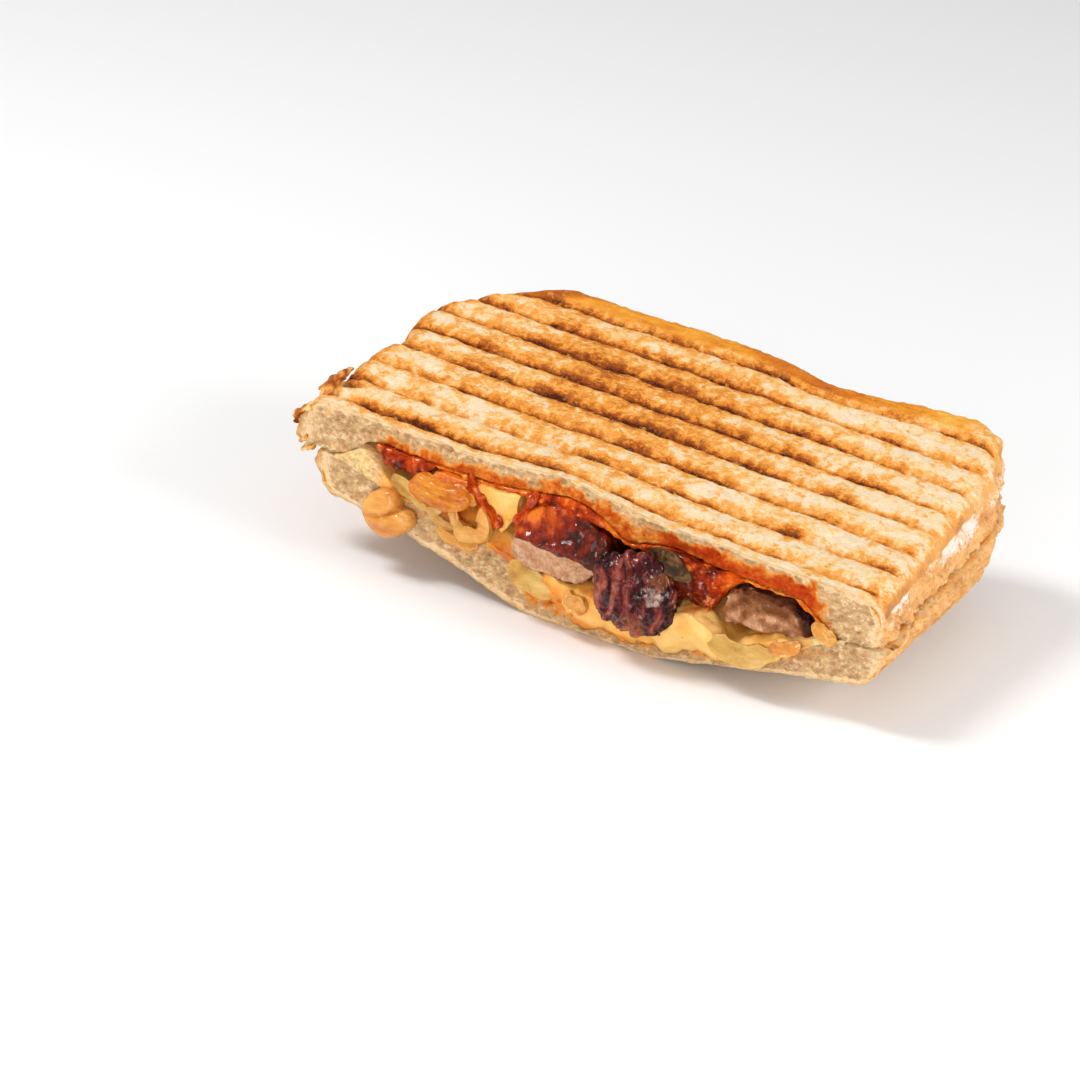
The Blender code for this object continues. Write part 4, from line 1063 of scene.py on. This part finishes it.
yellow = recipe.blend(recipe.times(pinholes, 0.3), yellow, tone(206, 128, 52))
normal = recipe.relief((fine, 0.12), (coarse, 0.5), (pinholes, -0.2))
roughness = recipe.sum(0.34, (fine, 0.2), (oily, -0.15))
finish_with(recipe, shader, yellow, roughness, normal, recipe.sum(0.15, (oily, 0.3)))

bed_rows = np.concatenate(
    [np.linspace(-2.0, 0.0, 9), np.linspace(0.5, 14.0, 24), np.linspace(15.5, 68.0, 34)]
)
cheese_layer, *_ = slab(
    "cheese_layer", 321, bed_rows, 2, 13, bed_face, bed_inner, bed_side, melted_cheese
)
x, y, z = places_of(cheese_layer)
grainy = 0.1 + 0.4 * smooth(19.0, 13.0, x)
welled_relief = 0.9 * lumps(x, y, z, 4.5) + 0.5 * lumps(x, y, z, 2.0) + grainy * lumps(x, y, z, 0.9)
press_out(cheese_layer, smooth(4.0, -0.5, y) * welled_relief)
warm = 0.3 + 0.6 * lumps(x, y, z, 7.0) + 0.35 * lumps(x * 0.4, y, z, 2.4) + 0.3 * smooth(5.0, 1.0, z)
# The minus term at x 88 to 106 makes the cheese paler under the hanging sauce: painted light against the
# shadow the sauce casts there.
warm += 0.4 * plateau(x, 25.0, 66.0, 5.0) - 0.2 * plateau(x, 88.0, 106.0, 4.0) - 0.1 * smooth(20.0, 10.0, x)
oil = 0.35 * smooth(30.0, 40.0, x) * smooth(60.0, 50.0, x) + 0.25 * smooth(5.0, 1.0, z)
oil += 0.5 * bump(x, 98.0, 7.0) * smooth(11.0, 14.0, z)
mark(cheese_layer, warm=warm, oil=oil, bready=smooth(19.0, 13.0, x) + smooth(124.0, 130.0, x))
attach(cheese_layer, "root")
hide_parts("cheese_bed")


def fold_face(s, v):
    x = mix(31.0, 53.2, s)
    return x, v, ceiling(x, np.maximum(v, 0.0)) - 4.0 * GAP


def fold_inner(s, v):
    x, y, z = fold_face(s, v)
    wedge = 7.5 * np.maximum(0.0, 1.0 - np.abs(x - 49.5) / 6.0)
    thick = 1.7 + (wedge + 1.6 * plateau(x, 33.0, 42.0, 3.0)) * np.exp(-np.maximum(0.0, y) / 6.0)
    return x, y, z - thick


def fold_side(s, v, outer, under, t):
    x, y, z = mix(outer, under, t)
    return x, y - 0.5 * np.sin(np.pi * t) * (v < 0.0), z


fold_rows = np.concatenate([[-0.9, -0.45], np.linspace(0.0, 12.0, 21), np.linspace(13.0, 30.0, 12)])
cheese_flap, *_ = slab(
    "cheese_flap", 91, fold_rows, 2, 17, fold_face, fold_inner, fold_side, melted_cheese
)
x, y, z = places_of(cheese_flap)
press_out(cheese_flap, smooth(4.0, 0.0, y) * (0.7 * lumps(x, y, z, 3.5) + 0.3 * lumps(x, y, z, 1.5)))
warm = 0.3 + 0.7 * smooth(46.0, 38.0, x) + 0.4 * lumps(x, y, z, 4.0)
mark(cheese_flap, warm=warm, oil=0.15 + 0.3 * smooth(44.0, 38.0, x), bready=0.1)
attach(cheese_flap, "root")
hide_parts("cheese_fold")


# ONION AND OLIVE
# Onion cut small and fried until it turned glassy: strips that keep the curve of their layer, and
# two flat cuts with creases. One slice of black olive lies bent against the seared steak.

def arc_path(middle, radius, start, turn, y):
    def path(t):
        angle = np.radians(start + turn * t)
        return Vector((middle[0] + radius * np.cos(angle), y, middle[1] + radius * np.sin(angle)))

    return path


def flat_cut(name, middle, radii, depths, dome, creases, material):
    """A domed flat piece: its outline is a radius for each angle in degrees, creased along lines."""
    turn, reach = np.array(list(radii), float), np.array(list(radii.values()))

    def section(y, angle):
        shifts = (-8.0, -4.0, 0.0, 4.0, 8.0)
        near = [np.interp(np.degrees(angle) + shift, turn, reach, period=360.0) for shift in shifts]
        size = np.mean(near, axis=0)
        return middle[0] + size * np.cos(angle), middle[1] + size * np.sin(angle)

    piece = lump_piece(name, section, np.linspace(*depths, 7), (1.3, 0.8), 140, material)
    x, y, z = places_of(piece)
    out, up = x - middle[0], z - middle[1]
    outline = np.interp(np.degrees(np.arctan2(up, out)), turn, reach, period=360.0)
    inside = np.clip(np.hypot(out, up) / outline, 0.0, 1.0)
    y = y - dome * (1.0 - inside**2)
    # dark is how deep each point lies in a crease; the material paints it as shade.
    dark = np.zeros(len(x))
    for start_x, start_z, end_x, end_z, depth, width in creases:
        run_x, run_z = end_x - start_x, end_z - start_z
        share = ((x - start_x) * run_x + (z - start_z) * run_z) / (run_x**2 + run_z**2)
        share = np.clip(share, 0.0, 1.0)
        line_z = start_z + share * run_z - 0.5 * np.sin(3.0 * share)
        away = np.hypot(x - start_x - share * run_x, z - line_z)
        groove = np.exp(-((away / width) ** 2)) * (0.4 + 0.6 * np.sin(np.pi * share))
        y = y + depth * groove
        dark = np.maximum(dark, groove)
    move_points(piece, x, y, z)
    press_out(piece, 0.35 * lumps(x, y, z, 3.2) + 0.14 * lumps(x, y, z, 1.4))
    return piece, dark


fried_onion, recipe, shader = new_finish(
    "fried_onion", Specular_IOR_Level=0.08, Coat_Weight=0.9, Coat_Roughness=0.04, Coat_IOR=1.36,
    Subsurface_Weight=0.4, Subsurface_Scale=0.002, Subsurface_Radius=(1.0, 0.7, 0.35),
)
places = recipe.places()
fine, coarse = recipe.speckle(places, 2.4)
veins = recipe.grain(recipe.places((3.5, 1.0, 0.7)), 0.9, 3.0, 0.5, 0.5)
straw = recipe.ramp(
    coarse, (0.3, tone(228, 178, 102)), (0.5, tone(218, 152, 68)), (0.7, tone(202, 124, 42))
)
warm = recipe.ramp(coarse, (0.3, tone(218, 148, 30)), (0.5, tone(202, 116, 12)), (0.7, tone(174, 82, 8)))
green = recipe.ramp(
    coarse, (0.3, tone(218, 184, 112)), (0.55, tone(194, 154, 78)), (0.75, tone(156, 114, 48))
)
colour = recipe.blend(recipe.mask("orange"), straw, warm)
colour = recipe.blend(recipe.mask("green"), colour, green)
colour = recipe.blend(recipe.times(recipe.step(veins, 0.45, 0.7), 0.12), colour, tone(252, 226, 170))
# Edges seen at a slant are painted deeper amber: painted shade for light passing through more onion there.
turned = recipe.node("LayerWeight", {"Blend": 0.35}).outputs["Facing"]
slant_shade = recipe.blend(1.0, colour, tone(244, 190, 110), "MULTIPLY")
colour = recipe.blend(recipe.times(turned, 0.75), colour, slant_shade)
normal = recipe.relief((veins, 0.1), (coarse, 1.4))
finish_with(recipe, shader, colour, recipe.sum(0.1, (fine, 0.2)), normal)

UPRIGHT, LEANING = (0.0, 0.35, 1.0), (0.25, 0.0, 1.0)
# Name, path, way of the width, width, thickness, how orange and how green.
ONION_CUTS = (
    ("onion_curl", arc_path((42.4, 18.6), 3.7, 64.0, -236.0, -2.1), FACING, 2.6, 3.6, 0.0, 0.2),
    ("onion_tail", line_path((44.6, -1.5, 12.8), (33.6, -1.3, 14.0), 1.2), UPRIGHT, 2.8, 1.1, 0.1, 0.2),
    ("onion_strip", line_path((20.5, -1.0, 22.4), (34.5, -1.4, 18.0), 0.8), LEANING, 3.6, 1.3, 0.1, 0.9),
    ("onion_wedge", line_path((52.8, -2.0, 11.6), (65.4, -2.7, 8.2), 0.5), UPRIGHT, 4.8, 2.0, 0.0, 0.8),
    ("onion_cube", line_path((68.6, -4.2, 9.6), (74.6, -4.5, 7.8), 0.0), LEANING, 4.2, 3.0, 0.2, 0.1),
    ("onion_leaf", line_path((103.8, -3.2, 10.6), (119.5, -3.0, 11.8), 2.0), UPRIGHT, 4.6, 1.4, 0.0, 0.9),
    ("onion_end", line_path((126.6, -0.8, 20.8), (132.6, -0.9, 18.0), 0.5), UPRIGHT, 2.9, 1.9, 0.3, 0.15),
)
for seed, (name, path, across, width, thickness, orange, greenish) in enumerate(ONION_CUTS):
    strip = soft_strip(f"{name}_fried", path, across, width, thickness, float(seed), 0.8, fried_onion)
    mark(strip, orange=orange, green=greenish)
    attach(strip, "root")
    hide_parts(name)

# Outlines of the flat cuts, and the start, end, depth and width of their creases.
HOOK_OUTLINE = {
    -180: 5.7, -134: 5.4, -100: 5.3, -67: 5.5, -32: 6.2, -8: 7.2,
    10: 7.3, 29: 3.4, 48: 5.2, 70: 6.3, 92: 6.0, 125: 5.5,
}
HOOK_CREASES = (
    (24.6, 15.6, 17.6, 13.2, 1.1, 0.7), (22.0, 17.6, 17.8, 15.4, 0.5, 0.9),
    (24.6, 11.4, 19.0, 10.6, 0.4, 0.9),
)
PETAL_OUTLINE = {
    -180: 8.2, -165: 6.4, -140: 4.4, -110: 3.4, -80: 3.2, -40: 4.6, -14: 7.6,
    4: 8.4, 16: 7.4, 50: 3.4, 90: 2.6, 125: 3.6, 152: 6.8,
}
PETAL_CREASES = (
    (27.0, 23.8, 40.6, 22.4, 0.9, 0.7), (29.5, 21.6, 39.0, 20.8, 0.7, 0.6),
    (31.0, 24.6, 40.0, 24.0, 0.5, 0.5),
)
# Name, middle, outline, front and back, dome, creases and how orange.
FLAT_CUTS = (
    ("onion_hook", (20.6, 13.6), HOOK_OUTLINE, (-3.0, -0.7), 1.5, HOOK_CREASES, 0.1),
    ("onion_petal", (33.8, 22.3), PETAL_OUTLINE, (-2.9, -1.2), 0.9, PETAL_CREASES, 0.95),
)
for name, middle, outline, depths, dome, creases, orange in FLAT_CUTS:
    cut, dark = flat_cut(f"{name}_fried", middle, outline, depths, dome, creases, fried_onion)
    # The creases are painted deeper orange as shade in them.
    mark(cut, orange=orange + 0.5 * dark, green=0.0)
    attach(cut, "root")
    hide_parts(name)

# Thin shreds that lie on and between the larger cuts.
ONION_SHREDS = (
    (line_path((26.0, -2.0, 21.0), (33.0, -2.6, 19.6), 0.4), UPRIGHT, 2.2, 0.9, 0.5, 0.2),
    (line_path((37.0, -2.4, 25.4), (43.0, -1.8, 22.0), -0.3), UPRIGHT, 2.2, 1.0, 1.0, 0.0),
    (line_path((35.5, -2.4, 23.2), (39.2, -2.9, 16.4), -0.6), LEANING, 2.4, 1.2, 0.3, 0.1),
    (line_path((30.6, -1.2, 16.8), (38.2, -1.5, 15.0), 0.5), UPRIGHT, 1.8, 0.8, 0.3, 0.4),
    (line_path((66.0, -3.8, 6.2), (71.5, -4.2, 5.6), -0.4), UPRIGHT, 1.8, 0.9, 0.9, 0.0),
    (line_path((110.0, -3.2, 8.6), (117.5, -3.0, 9.6), 0.8), UPRIGHT, 2.4, 1.0, 0.9, 0.0),
    (line_path((118.0, -2.6, 12.6), (125.0, -2.2, 15.6), 0.9), UPRIGHT, 3.0, 1.3, 0.4, 0.1),
)
for k, (path, across, width, thickness, orange, greenish) in enumerate(ONION_SHREDS):
    shred = soft_strip(f"onion_shred_{k + 1}", path, across, width, thickness, 20.0 + k, 1.2, fried_onion)
    mark(shred, orange=orange, green=greenish)
    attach(shred, "root")

olive_flesh, recipe, shader = new_finish(
    "olive_flesh", Specular_IOR_Level=0.05, Coat_Weight=0.5, Coat_Roughness=0.05, Coat_IOR=1.36
)
fine, coarse = recipe.speckle(recipe.places(), 1.0)
colour = recipe.ramp(coarse, (0.3, tone(22, 12, 5)), (0.5, tone(62, 38, 16)), (0.7, tone(122, 86, 46)))
roughness = recipe.sum(0.15, (fine, 0.25))
finish_with(recipe, shader, colour, roughness, recipe.relief((coarse, 0.3), (fine, 0.1)))

OLIVE_START, OLIVE_END = np.array((87.4, -3.4, 25.2)), np.array((98.4, -3.4, 22.6))
angle = np.linspace(0.0, 2.0 * np.pi, 40, endpoint=False)
rings = []
for t in np.linspace(0.03, 0.97, 34):
    middle = mix(OLIVE_START, OLIVE_END, t)
    arch = np.sin(np.pi * t)
    out = np.maximum(2.0 * arch**0.38 * np.cos(angle), -0.9 * arch)
    up = 2.5 * arch**0.38 * np.sin(angle)
    ring = np.stack([np.zeros(40), out - 1.6 * arch, up + 1.3 * arch], axis=-1)
    rings.append(middle + ring)
olive = tube_piece("olive", rings, OLIVE_START, OLIVE_END, olive_flesh)
x, y, z = places_of(olive)
press_out(olive, 0.5 * lumps(x, y, z, 2.6) + 0.2 * lumps(x, y, z, 1.1))
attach(olive, "root")
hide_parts("olive_slice")


# CRUST CURLS
# Where the plate's edge lifted the crust at the rounded end it tore into thin curls, which
# browned at their tips.

curled_crust, recipe, shader = new_finish("curled_crust", Specular_IOR_Level=0.15, Roughness=0.8)
places = recipe.places()
fine, coarse = recipe.speckle(places, 0.8)
tips = recipe.sum(recipe.mask("tips"), (coarse, 1.2), (fine, 0.4), (1.0, -0.8))
colour = recipe.ramp(
    tips, (0.1, tone(246, 206, 140)), (0.35, tone(234, 170, 90)),
    (0.6, tone(204, 122, 50)), (0.9, tone(140, 70, 26))
)
normal = recipe.relief((fine, 0.3), (coarse, 0.5))
finish_with(recipe, shader, colour, normal=normal)

# Start, end, sag, way of the width, width, thickness.
CRUST_CURLS = (
    ((-2.2, 1.5, 31.2), (-7.4, 0.8, 28.0), -0.8, (0.1, 1.0, 0.3), 3.2, 1.1),
    ((-6.6, 1.2, 29.8), (-6.4, 0.6, 26.2), 0.3, (0.5, 1.0, 0.0), 2.4, 0.9),
    ((-2.6, 1.6, 25.4), (-5.6, 0.6, 22.2), 0.4, (0.2, 1.0, 0.2), 2.8, 1.0),
    ((-1.4, 1.4, 22.2), (-4.6, 0.2, 20.6), -0.4, (0.2, 1.0, 0.5), 2.2, 0.9),
    ((-1.8, 2.6, 32.8), (-3.0, 12.4, 34.4), -1.2, (0.35, 0.1, 1.0), 5.2, 1.7),
    ((-3.6, 4.6, 34.0), (-2.2, 11.6, 35.8), -0.5, (0.9, 0.2, 0.4), 3.4, 1.5),
    ((-3.6, 13.0, 33.8), (-5.2, 19.4, 34.2), -0.5, (0.6, 0.0, 0.9), 2.4, 0.9),
)
for k, (start, end, sag, across, width, thickness) in enumerate(CRUST_CURLS):
    path = line_path(start, end, sag)
    curl = soft_strip(f"crust_curl_{k + 1}", path, across, width, thickness, 40.0 + k, 1.7, curled_crust)
    x, y, z = places_of(curl)
    outermost = 0.35 * smooth(-4.0, -7.0, x) + 0.3 * smooth(34.5, 36.5, z)
    mark(curl, tips=0.4 + 0.6 * lumps(x, y, z, 2.0) + outermost)
    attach(curl, "root")


# TABLE, LIGHT AND CAMERA
# A plain pale surface under a soft lamp at the upper left, with a wider one low in front and another
# at the right, and an even pale surround.

TABLE_REACH = 6.0
corners = [(x * TABLE_REACH, y * TABLE_REACH, 0.0) for x, y in ((-1, -1), (1, -1), (1, 1), (-1, 1))]
mesh = bpy.data.meshes.new("table")
mesh.from_pydata(corners, [], [(0, 1, 2, 3)])
table_finish, *_ = new_finish(
    "pale_table", Roughness=0.6, Specular_IOR_Level=0.3, Base_Color=(0.86, 0.86, 0.86, 1.0)
)
mesh.materials.append(table_finish)
table = bpy.data.objects.new("table", mesh)
bpy.context.scene.collection.objects.link(table)

world = bpy.data.worlds.new("surround")
world.use_nodes = True
background = world.node_tree.nodes["Background"]
background.inputs["Color"].default_value = (1.0, 1.0, 1.0, 1.0)
background.inputs["Strength"].default_value = 0.5
bpy.context.scene.world = world


LAMP_TARGET = Vector((0.0, 0.0, 0.02))


def soft_lamp(name, place, size, power):
    """A square lamp that faces the middle of the half."""
    lamp = bpy.data.lights.new(name, "AREA")
    lamp.shape = "SQUARE"
    lamp.size = size
    lamp.energy = power
    obj = bpy.data.objects.new(name, lamp)
    obj.location = place
    obj.rotation_euler = (LAMP_TARGET - Vector(place)).to_track_quat("-Z", "Y").to_euler()
    bpy.context.scene.collection.objects.link(obj)


soft_lamp("key_lamp", (-0.45, -0.25, 0.75), 0.28, 4.6)
soft_lamp("front_lamp", (0.25, -0.92, 0.24), 0.5, 4.2)
soft_lamp("right_lamp", (0.9, 0.1, 0.45), 0.5, 6.0)

CAMERA_PLACE = Vector((0.40012, -0.78778, 0.38612))
CAMERA_AIM = Vector((-0.44233, 0.80850, -0.39696))
CAMERA_TOP = Vector((-0.3014, 0.3179, 0.899))

camera = bpy.data.cameras.new("camera")
camera.sensor_width = 36.0
camera.lens = 142.35
camera.clip_start, camera.clip_end = 0.05, 20.0
eye = bpy.data.objects.new("camera", camera)
bpy.context.scene.collection.objects.link(eye)
forward = CAMERA_AIM.normalized()
right = forward.cross(CAMERA_TOP).normalized()
upward = right.cross(forward)
turn = Matrix((right, upward, -forward)).transposed().to_4x4()
eye.matrix_world = Matrix.Translation(CAMERA_PLACE) @ turn
bpy.context.scene.camera = eye
bpy.context.scene.view_settings.view_transform = "Standard"
